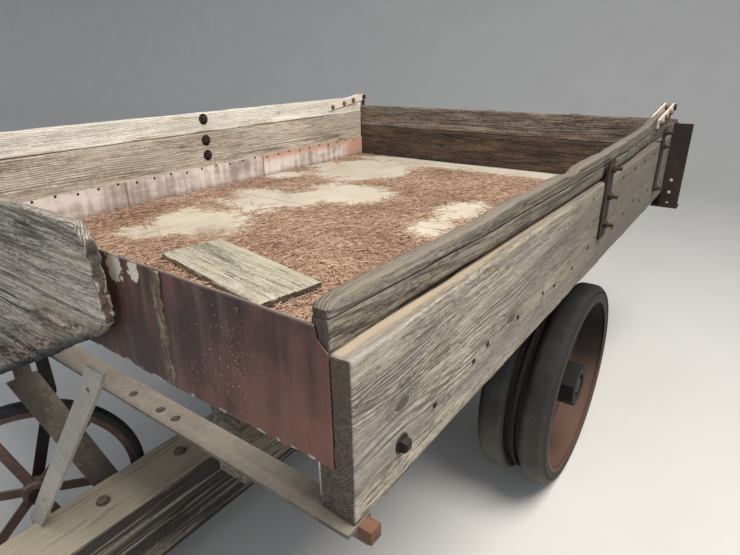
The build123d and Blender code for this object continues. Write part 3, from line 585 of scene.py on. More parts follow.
def board(
    name, node, along, step=0.014, rounding=0.003, chips=0.012, sink=0.0012, seed=0, end=None,
    top=None, bottom=None, rot=None, low=None, high=None, cuts=(),
):
    """A worn board in a solid's place. end, top and bottom are functions that shape its outline."""
    lowest, highest = (np.array(corner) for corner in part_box(node))
    if low is not None:
        lowest = np.array(low)
        highest = np.array(high)
    size = highest - lowest
    thin = int(np.argmin(size))
    wide = 3 - along - thin
    lines = [None] * 3
    along_lines = grid_lines(size[along], step * 2)
    lines[along] = np.union1d(along_lines, np.array(cuts) - lowest[along] if cuts else [])
    lines[wide] = grid_lines(size[wide], step * 0.7)
    lines[thin] = grid_lines(size[thin], step)
    points, quads = skin(lines)
    half = size / 2
    worn = np.zeros(len(points))
    rotten = np.zeros(len(points))
    torn = np.zeros(len(points))
    for i, point in enumerate(points):
        l, w, t = point[along], point[wide], point[thin]
        side = Vector((l * 5.0, 11.0 * (w > half[wide]) + seed, 7.0 * (t > half[thin])))
        chip = max(0.0, noise.noise(side) - 0.12) + 0.5 * max(0.0, noise.noise(side * 4.1) - 0.2)
        radius = min(rounding + chips * chip, 0.45 * size[thin])
        offset = point - half
        core = np.clip(offset, radius - half, half - radius)
        spare = offset - core
        reach = float(np.linalg.norm(spare))
        if reach > radius:
            worn[i] = min(1.0, (reach - radius) / 0.004)
            offset = core + spare * (radius / reach)
        inward = -np.sign(spare) * (np.abs(spare) > radius * 0.5)
        grain = ripple(l * 1.7 + seed, w * 38.0, t * 38.0)
        broad = ripple(l * 2.3, w * 6.0 + seed, t * 6.0)
        offset = offset + inward * sink * (0.9 + grain + broad)
        if rot:
            depth = rot(lowest + half + offset, inward)
            offset = offset + inward * depth
            rotten[i] = min(1.0, depth / 0.006)
        points[i] = offset + half
    if end:
        for i, point in enumerate(points):
            share = point[along] / size[along]
            limit = end(lowest[wide] + point[wide], lowest[thin] + point[thin]) - lowest[along]
            points[i, along] = share * limit
            below = clamp((TORN_BELOW - lowest[wide] - point[wide]) / 0.05)
            torn[i] = below * clamp(1.6 - (1.0 - share) * limit / TORN_LONG)
    if top or bottom:
        for i, point in enumerate(points):
            share = point[wide] / size[wide]
            place = lowest[along] + point[along]
            edge_low = bottom(place) if bottom else lowest[wide]
            edge_high = top(place) if top else highest[wide]
            points[i, wide] = edge_low + share * (edge_high - edge_low) - lowest[wide]
    mesh = bpy.data.meshes.new(name)
    mesh.from_pydata((points + lowest).tolist(), [], quads.tolist())
    for label, values in (("worn", worn), ("rotten", rotten), ("torn", torn)):
        attribute = mesh.attributes.new(label, "FLOAT", "POINT")
        attribute.data.foreach_set("value", values.astype(np.float32))
    mesh.update()
    return mesh


def worn_board(name, node, along, material, **shape):
    mesh = board(name, node, along, **shape)
    body = body_of_node[node]
    return add_piece(name, mesh, material, body, [node])


def warp(mesh, move):
    """Moves every point of a mesh by what the function gives for its place."""
    places = np.empty(len(mesh.vertices) * 3)
    mesh.vertices.foreach_get("co", places)
    places = places.reshape(-1, 3)
    moved = np.array([place + move(Vector(place)) for place in places])
    mesh.vertices.foreach_set("co", moved.ravel())
    mesh.update()


print("boards can be worn")

# %% [markdown]
# ## Side walls
# Each wall is a two-by-twelve outside and two boards inside it that stand higher. The outer plank's
# knots are placed where they show in the picture, and the growth rings flow round them.

# %% Wood of the walls
PLANK_KNOTS_SEEN = ((403, 403, 0.030), (357, 407, 0.008), (512, 318, 0.034))
plank_knots = []
for u, v, size in PLANK_KNOTS_SEEN:
    knot = seen_at(u, v, 0, OUTER_FACE)
    plank_knots.append((knot.y, knot.z, size))
plank_grey = ((0.094, 0.078, 0.061), (0.340, 0.292, 0.228), (0.530, 0.475, 0.380))
LEDGE_YELLOW = (0.34, 0.275, 0.19)
right_plank_wood = wood(
    "right_plank_wood", plank_grey, pith=(deck + 0.125, OUTER_FACE - 0.045), ring=0.0052,
    tilt=0.004, cathedral=0.020, knots=plank_knots, bold=0.45, checks=0.30,
    tint=(0.370, 0.330, 0.240), tint_share=0.22, cool=(0.235, 0.215, 0.215),
    # Darker towards the rear: painted shade of falling light, partly weathering.
    far_shade_and_grime=(box_front + 0.10, box_front + 1.6, 0.85), ledge_tone=LEDGE_YELLOW,
    worn_tone=(0.19, 0.165, 0.130), end_tone=(0.062, 0.050, 0.040), seed=1.3,
)
left_plank_wood = wood(
    "left_plank_wood", plank_grey, pith=(deck + 0.20, -OUTER_FACE + 0.06), ring=0.0055, tilt=-0.006,
    cathedral=-0.02, knots=((0.35, deck + 0.09, 0.022), (1.50, deck + 0.19, 0.018)), bold=0.6,
    checks=0.4, tint=(0.350, 0.320, 0.225), tint_share=0.25, cool=(0.250, 0.225, 0.215),
    ledge_tone=LEDGE_YELLOW, worn_tone=(0.33, 0.29, 0.23), end_tone=(0.060, 0.045, 0.036), seed=4.1,
)
# Lit and shaded tones of one wood: the upper board's pale tones are painted light for the light that
# falls on it, and the lower board keeps darker tones as painted shade.
lit_wall_tan = ((0.420, 0.370, 0.310), (0.760, 0.720, 0.640), (0.900, 0.870, 0.790))
shaded_low_tan = ((0.190, 0.150, 0.112), (0.455, 0.385, 0.315), (0.650, 0.580, 0.490))
left_walls = {}
for level, tones in (("upper", lit_wall_tan), ("lower", shaded_low_tan)):
    left_walls[level] = wood(
        f"left_wall_{level}", tones, pith=(deck + 0.16, -0.90), ring=0.0070, tilt=0.008,
        cathedral=0.012, knots=((0.62, deck + 0.255, 0.016), (1.30, deck + 0.36, 0.010)), bold=0.55,
        checks=0.45, tint=dim(tones[1], 0.85), tint_share=0.22, cool=dim(tones[1], 0.75),
        worn_tone=(0.42, 0.37, 0.30), end_tone=(0.10, 0.08, 0.06), seed=7.7,
    )
right_wall_wood = wood(
    "right_wall_wood", ((0.046, 0.038, 0.029), (0.200, 0.167, 0.125), (0.350, 0.305, 0.232)),
    pith=(deck + 0.30, 0.90), ring=0.0050, tilt=0.01, cathedral=0.010,
    knots=((0.10, deck + 0.35, 0.012),), bold=0.6, checks=0.45, tint=(0.33, 0.28, 0.19),
    # The wall's top is darkened: painted shade against the light from above.
    tint_share=0.25, cool=(0.20, 0.185, 0.165), top_dust_and_shading=(0.155, 0.128, 0.098),
    # Darker towards the rear: painted shade of falling light, partly weathering.
    far_shade_and_grime=(box_front + 0.10, box_front + 1.0, 0.55), worn_tone=(0.16, 0.137, 0.105),
    end_tone=(0.066, 0.054, 0.043), seed=11.0, depth=0.0022,
)
print("walls", len(plank_knots), "knots placed")

# %% [markdown]
# ### Shape of the walls
# The right wall has bowed outward above the plank, and its top is worn low and splintered. Both are
# read off as pairs: a place along the wall, and how far the wood has gone there. The left wall only
# has a nibbled top.

# %% Shape of the walls
WORN_AT = (0.0, 0.014, 0.045, 0.45, 0.60, 0.905, 0.985, 1.03, 1.30, 2.05, 2.28, wall_rear - box_front)
WORN_BY = (0.050, 0.042, 0.034, 0.033, 0.027, 0.025, 0.034, 0.022, 0.020, 0.019, 0.004, 0.0)
LEAN_AT = (0.0, 0.15, 0.44, 0.88, 1.30, 1.75, 2.26, wall_rear - box_front)
LEAN_BY = (0.0, 0.007, 0.018, 0.024, 0.028, 0.022, 0.0, 0.0)
SPLINTERED_AT, SPLINTERED_LONG = 0.98, 0.12
PLANK_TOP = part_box("outer_plank_right")[1][2]


def right_wall_top(y):
    """Height of the right wall's worn top edge, splintered near its middle."""
    along_wall = y - box_front
    drop = float(np.interp(along_wall, WORN_AT, WORN_BY))
    rough = ripple(y * 7.0, 3.0, 0.0) + 0.6 * ripple(y * 23.0, 1.0, 0.0)
    splinter = 1.0 + 2.5 * math.exp(-(((along_wall - SPLINTERED_AT) / SPLINTERED_LONG) ** 2))
    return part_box("inner_board_upper_right")[1][2] - drop - 0.003 * splinter * abs(rough)


def wall_lean(place):
    """How far the right wall has bowed outward above the plank beside it."""
    over = clamp((place.z - PLANK_TOP - 0.001) / 0.006)
    return np.array((over * float(np.interp(place.y - box_front, LEAN_AT, LEAN_BY)), 0.0, 0.0))


def left_wall_top(y):
    """Height of the left wall's top edge, nibbled by weather."""
    rough = ripple(y * 4.0, 8.0, 0.0) + 0.5 * ripple(y * 17.0, 2.0, 0.0)
    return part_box("inner_board_upper_left")[1][2] - 0.004 * abs(rough)


worn_board("plank_right", "outer_plank_right", 1, right_plank_wood, step=0.012, rounding=0.004, seed=3)
worn_board("plank_left", "outer_plank_left", 1, left_plank_wood, step=0.014, rounding=0.004, seed=5)
worn_board("wall_lower_left", "inner_board_lower_left", 1, left_walls["lower"], seed=6, chips=0.02)
lower_right = worn_board(
    "wall_lower_right", "inner_board_lower_right", 1, right_wall_wood, seed=9, chips=0.02
)
worn_board(
    "wall_upper_left", "inner_board_upper_left", 1, left_walls["upper"], step=0.012, rounding=0.005,
    chips=0.03, seed=8, top=left_wall_top,
)
upper_right = worn_board(
    "wall_upper_right", "inner_board_upper_right", 1, right_wall_wood, step=0.011, rounding=0.007,
    chips=0.022, seed=2, top=right_wall_top,
)
for wall in (lower_right, upper_right):
    warp(wall.data, wall_lean)
print("right wall's top at the front", round(right_wall_top(box_front), 3))

# %% [markdown]
# ## Boards across the front
# Three old boards are nailed ahead of the steel sheet. Their right ends have rotted away, and brown
# rot has broken the lowest wood into small cubes. A Voronoi pattern, stretched along the grain,
# gives the cubes: the skin sinks most at the cell borders and in a share of the cells.

# %% Rotten front boards
old_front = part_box("old_board_upper")[0]
old_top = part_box("old_board_upper")[1][2]
OLD_WIDE = 0.182
OLD_GAP = 0.002
OLD_TOPS = [old_top - n * (OLD_WIDE + OLD_GAP) for n in range(3)]
# Height above the deck and place across the wagon of the rotten ends, board by board
OLD_ENDS = {
    "upper": (
        (old_top - OLD_WIDE - deck, 0.478),
        (old_top - 0.03 - deck, 0.470),
        (old_top - deck, 0.440),
    ),
    "middle": (
        (OLD_TOPS[1] - OLD_WIDE - deck, 0.162),
        (0.089, 0.287),
        (0.159, 0.434),
        (OLD_TOPS[1] - deck, 0.476),
    ),
    "lower": ((OLD_TOPS[2] - OLD_WIDE - deck, -0.214), (-0.082, -0.049), (OLD_TOPS[2] - deck, 0.158)),
}


def rotten_end(heights, places, seed):
    """Where a board ends at each height, with a torn line."""

    def end(z, y):
        base = float(np.interp(z - deck, heights, places))
        tear = ripple(z * 45.0, y * 60.0, seed) + 0.5 * ripple(z * 160.0, y * 90.0, seed)
        return base - 0.014 * abs(tear)

    return end


def cube_rot(place, inward):
    """Depth lost to brown rot at a place on the front boards' skin."""
    near_end = (place[0] + 0.25) / 0.55 + (deck + 0.10 - place[2]) / 0.16
    patch = ripple(place[0] * 5.0, 0.0, place[2] * 14.0)
    share = clamp(near_end * 0.60 - 0.28 + 0.9 * patch)
    if share == 0.0 or inward[1] <= 0.0:
        return 0.0
    cell = Vector((place[0] * 34.0, 0.0, place[2] * 85.0))
    distances, points = noise.voronoi(cell)
    border = max(0.0, 1.0 - (distances[1] - distances[0]) * 3.5)
    lost = 0.5 + 0.5 * noise.cell(points[0] * 3.7)
    return share * (0.004 * border + 0.010 * lost)


front_wood = wood(
    "front_wood", ((0.095, 0.084, 0.072), (0.330, 0.290, 0.245), (0.560, 0.510, 0.440)), along="x",
    across="z", pith=(deck + 0.35, old_front[1] + 0.08), ring=0.0050, tilt=-0.02, cathedral=0.02,
    bold=0.7, checks=0.85, tint=(0.40, 0.36, 0.20), tint_share=0.24,
    worn_tone=(0.105, 0.090, 0.076), rot_tone=(0.55, 0.30, 0.195), end_tone=(0.050, 0.045, 0.042),
    seed=21.0, depth=0.0025,
)
for number, (level, ends) in enumerate(OLD_ENDS.items()):
    heights, places = zip(*ends)
    worn_board(
        f"front_board_{level}", f"old_board_{level}", 0, front_wood, step=0.010, rounding=0.004,
        chips=0.022, sink=0.0016, seed=31 + number, end=rotten_end(heights, places, number * 5.0),
        rot=cube_rot,
    )
print("front boards", OLD_TOPS)

# %% [markdown]
# ## Endgate
# The endgate's two rough boards hang from a bolt at each end. The upper one is given pale tones, and the
# lower one much darker tones.

# %% Endgate
GATE_TONES = {
    "upper": ((0.040, 0.029, 0.021), (0.145, 0.110, 0.084), (0.300, 0.245, 0.200)),
    "lower": ((0.016, 0.010, 0.006), (0.054, 0.031, 0.019), (0.115, 0.070, 0.046)),
}
gate_woods = {}
for number, (level, tones) in enumerate(GATE_TONES.items()):
    gate_woods[level] = wood(
        f"gate_wood_{level}", tones, along="x", across="z", pith=(deck + 0.22, wall_rear - 0.06),
        ring=0.0075, tilt=0.008, cathedral=0.012,
        knots=((-0.30, deck + 0.12, 0.016), (0.42, deck + 0.29, 0.014)), checks=0.6,
        tint=(0.20, 0.11, 0.05), tint_share=0.2,
        worn_tone=(0.46, 0.36, 0.27) if level == "upper" else (0.10, 0.07, 0.05),
        end_tone=(0.06, 0.045, 0.035), seed=14.0 + number,
    )
gate_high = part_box("gate_board_upper")[1]


def gate_top(x):
    """Top edge of the endgate, nibbled by weather."""
    return gate_high[2] - 0.003 * abs(ripple(x * 9.0, 5.0, 0.0))


worn_board("gate_lower", "gate_board_lower", 0, gate_woods["lower"], rounding=0.004, seed=41)
worn_board(
    "gate_upper", "gate_board_upper", 0, gate_woods["upper"], rounding=0.003, chips=0.006, seed=43,
    top=gate_top,
)
print("endgate top", round(gate_high[2], 3))

# %% [markdown]
# ## Loose board
# A board has lain in the bed long enough to grey over and to rot dark along its front edge. It is
# modelled flat at the origin, then turned and laid on the floor.

# %% Loose board
LOOSE_SIZE = Vector((0.590, 0.225, 0.032))
LOOSE_AT = Vector((0.125, box_front + 0.548, floor_top + LOOSE_SIZE[2] / 2))
LOOSE_TURN = math.radians(-10)


def loose_rot(place, _):
    """Depth lost along the loose board's front and right edges."""
    front = max(0.0, 1.0 - (place[1] + LOOSE_SIZE[1] / 2) / 0.05)
    side = max(0.0, 1.0 - (LOOSE_SIZE[0] / 2 - place[0]) / 0.03)
    crumble = abs(ripple(place[0] * 22.0, place[1] * 40.0, place[2] * 90.0))
    return 0.009 * max(front, side) * crumble


loose_wood = wood(
    "loose_wood", ((0.130, 0.112, 0.082), (0.370, 0.333, 0.260), (0.480, 0.440, 0.350)), along="x",
    across="y", pith=(LOOSE_AT.y + 0.03, LOOSE_AT.z - 0.06), ring=0.0050, tilt=0.01, cathedral=0.02,
    checks=0.45, tint=(0.42, 0.38, 0.26), tint_share=0.25, worn_tone=(0.050, 0.040, 0.032),
    end_tone=(0.050, 0.040, 0.032), seed=52.0, turned=LOOSE_TURN,
)
loose_mesh = board(
    "loose_board", "fallen_board", 0, step=0.009, rounding=0.003, chips=0.012, seed=51,
    low=-LOOSE_SIZE / 2, high=LOOSE_SIZE / 2, rot=loose_rot,
)
loose_mesh.transform(Matrix.Translation(LOOSE_AT) @ Matrix.Rotation(LOOSE_TURN, 4, "Z"))
add_piece("loose_board", loose_mesh, loose_wood, "wagon", ["fallen_board"])
print("loose board at", round(LOOSE_AT.x, 3), round(LOOSE_AT.y, 3))

# %% [markdown]
# ## Tongue
# The tongue is a heavy timber with a pale dusty top, lightened further as painted light, and a deeply
# grooved side painted dark as shade. It narrows from below to a level tip, so its lower edge follows a
# line while the upper one stays straight.

# %% Tongue
TIP_LONG, TAPER_LONG = 0.180, 0.400
TIP_DEEP = 0.110


def tongue_bottom(y):
    """Height of the tongue's lower edge."""
    share = (y - tongue_low[1] - TIP_LONG) / (TAPER_LONG - TIP_LONG)
    share = clamp(share)
    return tongue_high[2] - TIP_DEEP + share * (tongue_low[2] - tongue_high[2] + TIP_DEEP)


tongue_wood = wood(
    "tongue_wood", ((0.070, 0.058, 0.045), (0.220, 0.188, 0.148), (0.360, 0.320, 0.255)),
    pith=(tongue_high[2] - 0.12, 0.01), ring=0.0060, tilt=0.006, checks=0.9,
    # Pale dusty top, lightened further as painted light against the box's shadow.
    tint=(0.36, 0.31, 0.23), tint_share=0.3, top_dust_and_shading=(0.480, 0.412, 0.305), top_share=0.86,
    # Near black sides: painted shade.
    shaded_side_tone=(0.036, 0.030, 0.027), worn_tone=(0.15, 0.125, 0.10), end_tone=(0.08, 0.065, 0.05),
    seed=61.0, depth=0.003,
)
worn_board(
    "tongue_timber", "tongue", 1, tongue_wood, step=0.016, rounding=0.006, chips=0.02, sink=0.003,
    seed=63, bottom=tongue_bottom,
)
print("tongue's tip is", TIP_DEEP, "deep, its butt", round(tongue_high[2] - tongue_low[2], 3))

# %% [markdown]
# ## Front sheet
# The front is two thin steel sheets. Their rust is a dark purple-brown that turns orange low on the
# right. Old paint is left as one flaked patch and specks, placed where they show in the picture.

# %% Sheet rust
FLAKES_SEEN = ((113, 263, 0.026), (133, 271, 0.015))
FLECKS_SEEN = (216, 356)
SHEET_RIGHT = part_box("front_sheet_right")[1]


def sheet_rust():
    m = Finish("sheet_rust")
    broad = m.even(3.5, detail=6.0, rough=0.62)
    drips = m.noise(m.x * 38.0, m.y * 5.0, m.z * 3.0, detail=4.0)
    speckle = m.even(170.0, rough=0.7)
    older = (broad * 0.8 + drips * 0.35).rise(0.48, 0.68)
    colour = m.mix((0.048, 0.029, 0.027), (0.150, 0.062, 0.052), older)
    colour = m.mix(colour, (0.125, 0.090, 0.088), drips.rise(0.50, 0.72) * 0.45)
    low_right = m.x.rise(0.50, 0.98) * m.z.rise(deck + 0.27, deck + 0.12)
    orange = low_right * (broad + drips * 0.5).rise(0.46, 0.90)
    colour = m.mix(colour, (0.215, 0.095, 0.062), orange * 0.75)
    scale = m.cells(m.x * 120.0, m.y * 120.0, m.z * 120.0)
    rare = m.even(7.0, detail=2.0).rise(0.44, 0.60)
    cluster = seen_at(*FLECKS_SEEN, 1, box_front)
    away = ((m.x - cluster.x) ** 2.0 + (m.z - cluster.z) ** 2.0) ** 0.5
    flecks = scale.rise(0.19, 0.09) * (rare * 0.35 + away.rise(0.16, 0.05)) * speckle.rise(0.40, 0.52)
    colour = m.mix(colour, (0.46, 0.42, 0.37), flecks * 0.8)
    torn = m.even(48.0, detail=5.0, rough=0.7) - 0.5
    flake = None
    for u, v, size in FLAKES_SEEN:
        spot = seen_at(u, v, 1, box_front)
        away = ((m.x - spot.x) ** 2.0 + ((m.z - spot.z) * 0.75) ** 2.0) ** 0.5
        near = (away + torn * 0.060).rise(size * 1.04, size * 0.96)
        flake = near if flake is None else flake.most(near)
    colour = m.mix(colour, (0.66, 0.60, 0.49), flake)
    rim_line = m.z.rise(SHEET_RIGHT[2] - 0.006, SHEET_RIGHT[2] - 0.001)
    colour = m.mix(colour, (0.22, 0.17, 0.14), rim_line * 0.8)
    edge = m.z.rise(deck + 0.098, deck + 0.090) * m.noise(m.x * 60.0, m.y, m.z * 60.0).rise(0.52, 0.62)
    colour = m.mix(colour, (0.48, 0.45, 0.40), edge)
    relief = speckle * 0.5 + flake * 0.6 + broad * 0.4
    return m.finish(colour, 0.60 + speckle * 0.25, relief, 0.0012, 0.1)


sheet_metal = sheet_rust()
print("paint flakes", len(FLAKES_SEEN))

# %% [markdown]
# ### Shape of the sheets
# Thin steel never stays flat, so the sheets are dented, bitten by rust along the bottom, and torn at
# the upper right corner.

# %% Shape of the sheets
SHEET_THICK = 0.003
TORN_AT = (0.594, 0.953, 0.957, 0.977)
TORN_BY = (0.0, 0.0, 0.020, 0.039)


def sheet_dents(place):
    """How far a sheet is pushed in or out at a place."""
    x, z = place[0], place[2]
    broad = ripple(x * 2.6, 4.0, z * 5.0) * 0.0035
    small = ripple(x * 11.0, 9.0, z * 13.0) * 0.0012
    curl = max(0.0, (deck + 0.12 - z) / 0.03) ** 2 * 0.003 * ripple(x * 6.0, 1.0, 0.0)
    return np.array((0.0, max(-0.003, broad + small) + curl, 0.0))


def sheet_bottom(x):
    """The sheets' lower edge, eaten by rust."""
    bite = ripple(x * 28.0, 2.0, 0.0) + 0.6 * ripple(x * 90.0, 2.0, 0.0)
    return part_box("front_sheet_left")[0][2] + 0.005 * max(0.0, bite)


def torn_top(x):
    """The right sheet's upper edge, with its corner torn off."""
    return SHEET_RIGHT[2] - float(np.interp(x, TORN_AT, TORN_BY))


seam_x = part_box("front_sheet_left")[1][0]
seam_low, seam_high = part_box("front_sheet_right")
right_low = (seam_x, box_front, seam_low[2])
right_high = (seam_high[0], box_front + SHEET_THICK, seam_high[2])
sheet_left = board(
    "sheet_left", "front_sheet_left", 0, rounding=0.0008, chips=0.0, sink=0.0, bottom=sheet_bottom
)
sheet_right = board(
    "sheet_right", "front_sheet_right", 0, rounding=0.0008, chips=0.0, sink=0.0,
    bottom=sheet_bottom, top=torn_top, low=right_low, high=right_high, cuts=TORN_AT[1:3],
)
for mesh in (sheet_left, sheet_right):
    warp(mesh, sheet_dents)
add_piece("sheet_left", sheet_left, sheet_metal, "wagon", ["front_sheet_left"])
add_piece("sheet_right", sheet_right, sheet_metal, "wagon", ["front_sheet_right"])
print("sheets meet at", round(seam_x, 3))

# %% [markdown]
# ### Lichen in the seam
# Where the sheets are lapped, damp has stayed and a lumpy strip of lichen has grown over the joint.


# %% Lichen in the seam
def moss():
    """Grey-green and yellow lichen over dark rust, lumpy."""
    m = Finish("seam_moss")
    lump = m.noise(m.x * 55.0, m.y * 55.0, m.z * 22.0, detail=5.0, rough=0.7)
    fine = m.even(260.0)
    tones = [(0.40, (0.036, 0.028, 0.022)), (0.53, (0.125, 0.096, 0.062)), (0.66, (0.280, 0.245, 0.165))]
    return m.finish(m.ramp(lump * 0.8 + fine * 0.25, tones), 0.95, lump + fine * 0.4, 0.003)


moss_finish = moss()
seam_mesh = board(
    "sheet_seam", "front_sheet_right", 2, step=0.006, rounding=0.002, chips=0.004, sink=0.0008,
    seed=71, low=(seam_x - 0.013, box_front - 0.005, seam_low[2] + 0.001),
    high=(seam_x + 0.014, box_front + 0.001, seam_high[2] - 0.001),
)


def ragged(place):
    """The lichen strip wanders, and each of its edges is uneven on its own."""
    side = 1.0 if place[0] > seam_x else -1.0
    wander = 0.004 * ripple(1.0, 5.0, place[2] * 16.0)
    return np.array((wander + 0.009 * ripple(side * 3.0, 2.0, place[2] * 70.0), 0.0, 0.0))


warp(seam_mesh, ragged)
add_piece("sheet_seam", seam_mesh, moss_finish, "wagon", [])
print("seam strip", len(seam_mesh.polygons), "faces")

# %% [markdown]
# ## Kick strips
# Low steel strips line the bed. They are in three lengths, with rust at the joints, and the last
# length is orange along its top.

# %% Kick strips
KICK_JOINTS = (box_front + 0.830, box_front + 1.682)


def kick_rust():
    """Mauve-brown rust with vertical drips, orange along the top of the rear length."""
    m = Finish("kick_rust")
    broad = m.noise(m.x * 4.0, m.y * 3.0, m.z * 8.0, detail=6.0, rough=0.6)
    drips = m.noise(m.x * 5.0, m.y * 30.0, m.z * 5.0, detail=5.0)
    speckle = m.even(150.0)
    paler = (broad * 0.8 + drips * 0.5).rise(0.50, 0.76)
    colour = m.mix((0.330, 0.262, 0.232), (0.700, 0.610, 0.560), paler)
    rear = m.y.rise(KICK_JOINTS[1] - 0.002, KICK_JOINTS[1] + 0.002)
    upper = m.z.rise(deck + 0.085, deck + 0.132)
    last = m.y.rise(wall_rear - 0.26, wall_rear - 0.12)
    orange = rear * upper.most(last) * (broad + drips * 0.4).rise(0.40, 0.75)
    colour = m.mix(colour, (0.480, 0.230, 0.140), orange * 0.8)
    for joint in KICK_JOINTS:
        line = abs(m.y - joint).rise(0.012, 0.001)
        colour = m.mix(colour, (0.240, 0.100, 0.060), line * 0.7)
    foot = m.z.rise(deck + 0.050, deck + 0.018)
    colour = m.mix(colour, (0.120, 0.095, 0.095), foot * 0.6)
    return m.finish(colour, 0.72, speckle * 0.6 + drips * 0.4, 0.0010, 0.05)


paint("kick_strips", kick_rust())
print("kick strips painted")

# %% [markdown]
# ## Floor
# The floor is pale sheet board under dust, with damp stains where straw has lain. Thin dark lines at
# the joints come from the solid itself.


# %% Floor
def floor_board():
    m = Finish("floor_board")
    grain = m.noise(m.x * 90.0, m.y * 3.0, m.z, detail=4.0, rough=0.6)
    stain = m.noise(m.x * 2.6, m.y * 2.2, m.z, detail=6.0, rough=0.6)
    dust = m.noise(m.x * 45.0, m.y * 45.0, m.z, detail=4.0, rough=0.7)
    shade = grain * 0.25 + stain * 0.6 + dust * 0.25
    tones = [(0.40, (0.300, 0.225, 0.165)), (0.50, (0.480, 0.410, 0.325)), (0.60, (0.540, 0.480, 0.390))]
    colour = m.ramp(shade, tones)
    up = m.facing("Z").rise(0.3, 0.8)
    colour = m.mix((0.14, 0.105, 0.075), colour, up)
    return m.finish(colour, 0.85, grain * 0.5 + dust * 0.5, 0.0008)


paint("floor", floor_board())
print("floor painted, top at", round(floor_top, 3))

# %% [markdown]
# ## Straw
# Pine needles and hay lie in drifts, with bare patches between. A map of drifts drives everything: a
# low mat, and needles that Geometry Nodes scatters over it, thicker where the map is higher. Each
# needle is a bent tube of few faces, turned by a seeded random angle.


# %% Nodes for geometry
class Builder:
    """A Geometry Nodes tree that is built by calls."""

    def __init__(self, name, inputs):
        self.tree = bpy.data.node_groups.new(name, "GeometryNodeTree")
        face = self.tree.interface
        face.new_socket("Geometry", in_out="INPUT", socket_type="NodeSocketGeometry")
        face.new_socket("Geometry", in_out="OUTPUT", socket_type="NodeSocketGeometry")
        for label, kind in inputs.items():
            face.new_socket(label, in_out="INPUT", socket_type=kind)
        self.inputs = self.tree.nodes.new("NodeGroupInput")
        self.end = self.tree.nodes.new("NodeGroupOutput")

    def take(self, label):
        return self.inputs.outputs[label]

    def node(self, kind, settings=None, sockets=None, out=0):
        made = self.tree.nodes.new(kind)
        for name, value in (settings or {}).items():
            setattr(made, name, value)
        for key, value in (sockets or {}).items():
            for one in value if isinstance(value, list) else [value]:
                if isinstance(one, bpy.types.NodeSocket):
                    self.tree.links.new(one, made.inputs[key])
                else:
                    made.inputs[key].default_value = one
        return made.outputs[out]

    def maths(self, operation, one, two):
        return self.node("ShaderNodeMath", {"operation": operation}, {0: one, 1: two})

    def vector(self, x=0.0, y=0.0, z=0.0):
        return self.node("ShaderNodeCombineXYZ", None, {0: x, 1: y, 2: z})

    def chance(self, low, high, seed):
        """A random number for each instance."""
        sockets = {2: low, 3: high, "Seed": seed}
        return self.node("FunctionNodeRandomValue", {"data_type": "FLOAT"}, sockets, out=1)

    def any_turn(self, low, high, seed):
        """A random turn about the three axes for each instance."""
        sockets = {"Min": low, "Max": high, "Seed": seed}
        return self.node("FunctionNodeRandomValue", {"data_type": "FLOAT_VECTOR"}, sockets)

    def close(self, geometry, material):
        """Ends the tree in Realize Instances and Set Material."""
        real = self.node("GeometryNodeRealizeInstances", None, {"Geometry": geometry})
        coated = self.node("GeometryNodeSetMaterial", None, {"Geometry": real, "Material": material})
        self.tree.links.new(coated, self.end.inputs[0])

    def grow(self, name, seed_mesh, values):
        """Runs the tree on a mesh and gives back a plain mesh."""
        carrier = bpy.data.objects.new(name, seed_mesh)
        bpy.context.scene.collection.objects.link(carrier)
        modifier = carrier.modifiers.new("nodes", "NODES")
        modifier.node_group = self.tree
        for item in self.tree.interface.items_tree:
            if item.in_out == "INPUT" and item.name in values:
                modifier[item.identifier] = values[item.name]
        graph = bpy.context.evaluated_depsgraph_get()
        grown = bpy.data.meshes.new_from_object(carrier.evaluated_get(graph))
        carrier.modifiers.remove(modifier)
        bpy.data.objects.remove(carrier)
        grown.name = name
        return grown


print("node trees can be built")

# %% [markdown]
# ### The map of drifts
# The map says how thick the straw lies at each place. The bare patches were placed from the
# picture, and noise makes their outlines wander.

# %% The map of drifts
MAP_CELL, MAP_EDGE = 0.030, 0.040
inner_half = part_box("inner_board_lower_right")[0][0]
bed_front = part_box("floor")[0][1]
# Bare patches: place across and along the bed, half width and half length, how bare
BARE_PATCHES = (
    (-0.59, 2.14, 0.24, 0.25, 1.0),
    (-0.28, 1.61, 0.20, 0.155, 1.0),
    (-0.515, 1.335, 0.225, 0.10, 1.0),
    (-0.54, 1.15, 0.19, 0.045, 1.0),
    (-0.485, 0.86, 0.19, 0.15, 1.0),
    (-0.555, 0.61, 0.09, 0.06, 1.0),
    (0.36, 1.64, 0.085, 0.14, 1.0),
    (0.385, 1.335, 0.075, 0.095, 1.0),
    (-0.845, 1.77, 0.065, 0.10, 1.0),
    (-0.60, 1.60, 0.10, 0.12, 0.6),
    (0.10, 0.98, 0.12, 0.06, 0.5),
    (0.72, 2.05, 0.15, 0.30, 0.6),
    (0.70, 0.90, 0.12, 0.25, 0.5),
    (0.10, 2.52, 0.85, 0.08, 1.0),
)


def drift(x, y):
    """How thick the straw lies at a place of the bed, from 0 to 1."""
    along_bed = y - box_front
    wander = ripple(x * 5.0, y * 5.0, 3.0) + 0.6 * ripple(x * 13.0, y * 13.0, 5.0)
    thick = 0.86 + 0.25 * ripple(x * 2.2, y * 2.2, 1.0)
    for px, py, half_x, half_y, bare in BARE_PATCHES:
        reach = math.hypot((x - px) / half_x, (along_bed - py) / half_y) + 0.30 * wander
        thick = min(thick, 1.0 - bare * clamp((1.80 - reach) / 0.6))
    return clamp(thick)


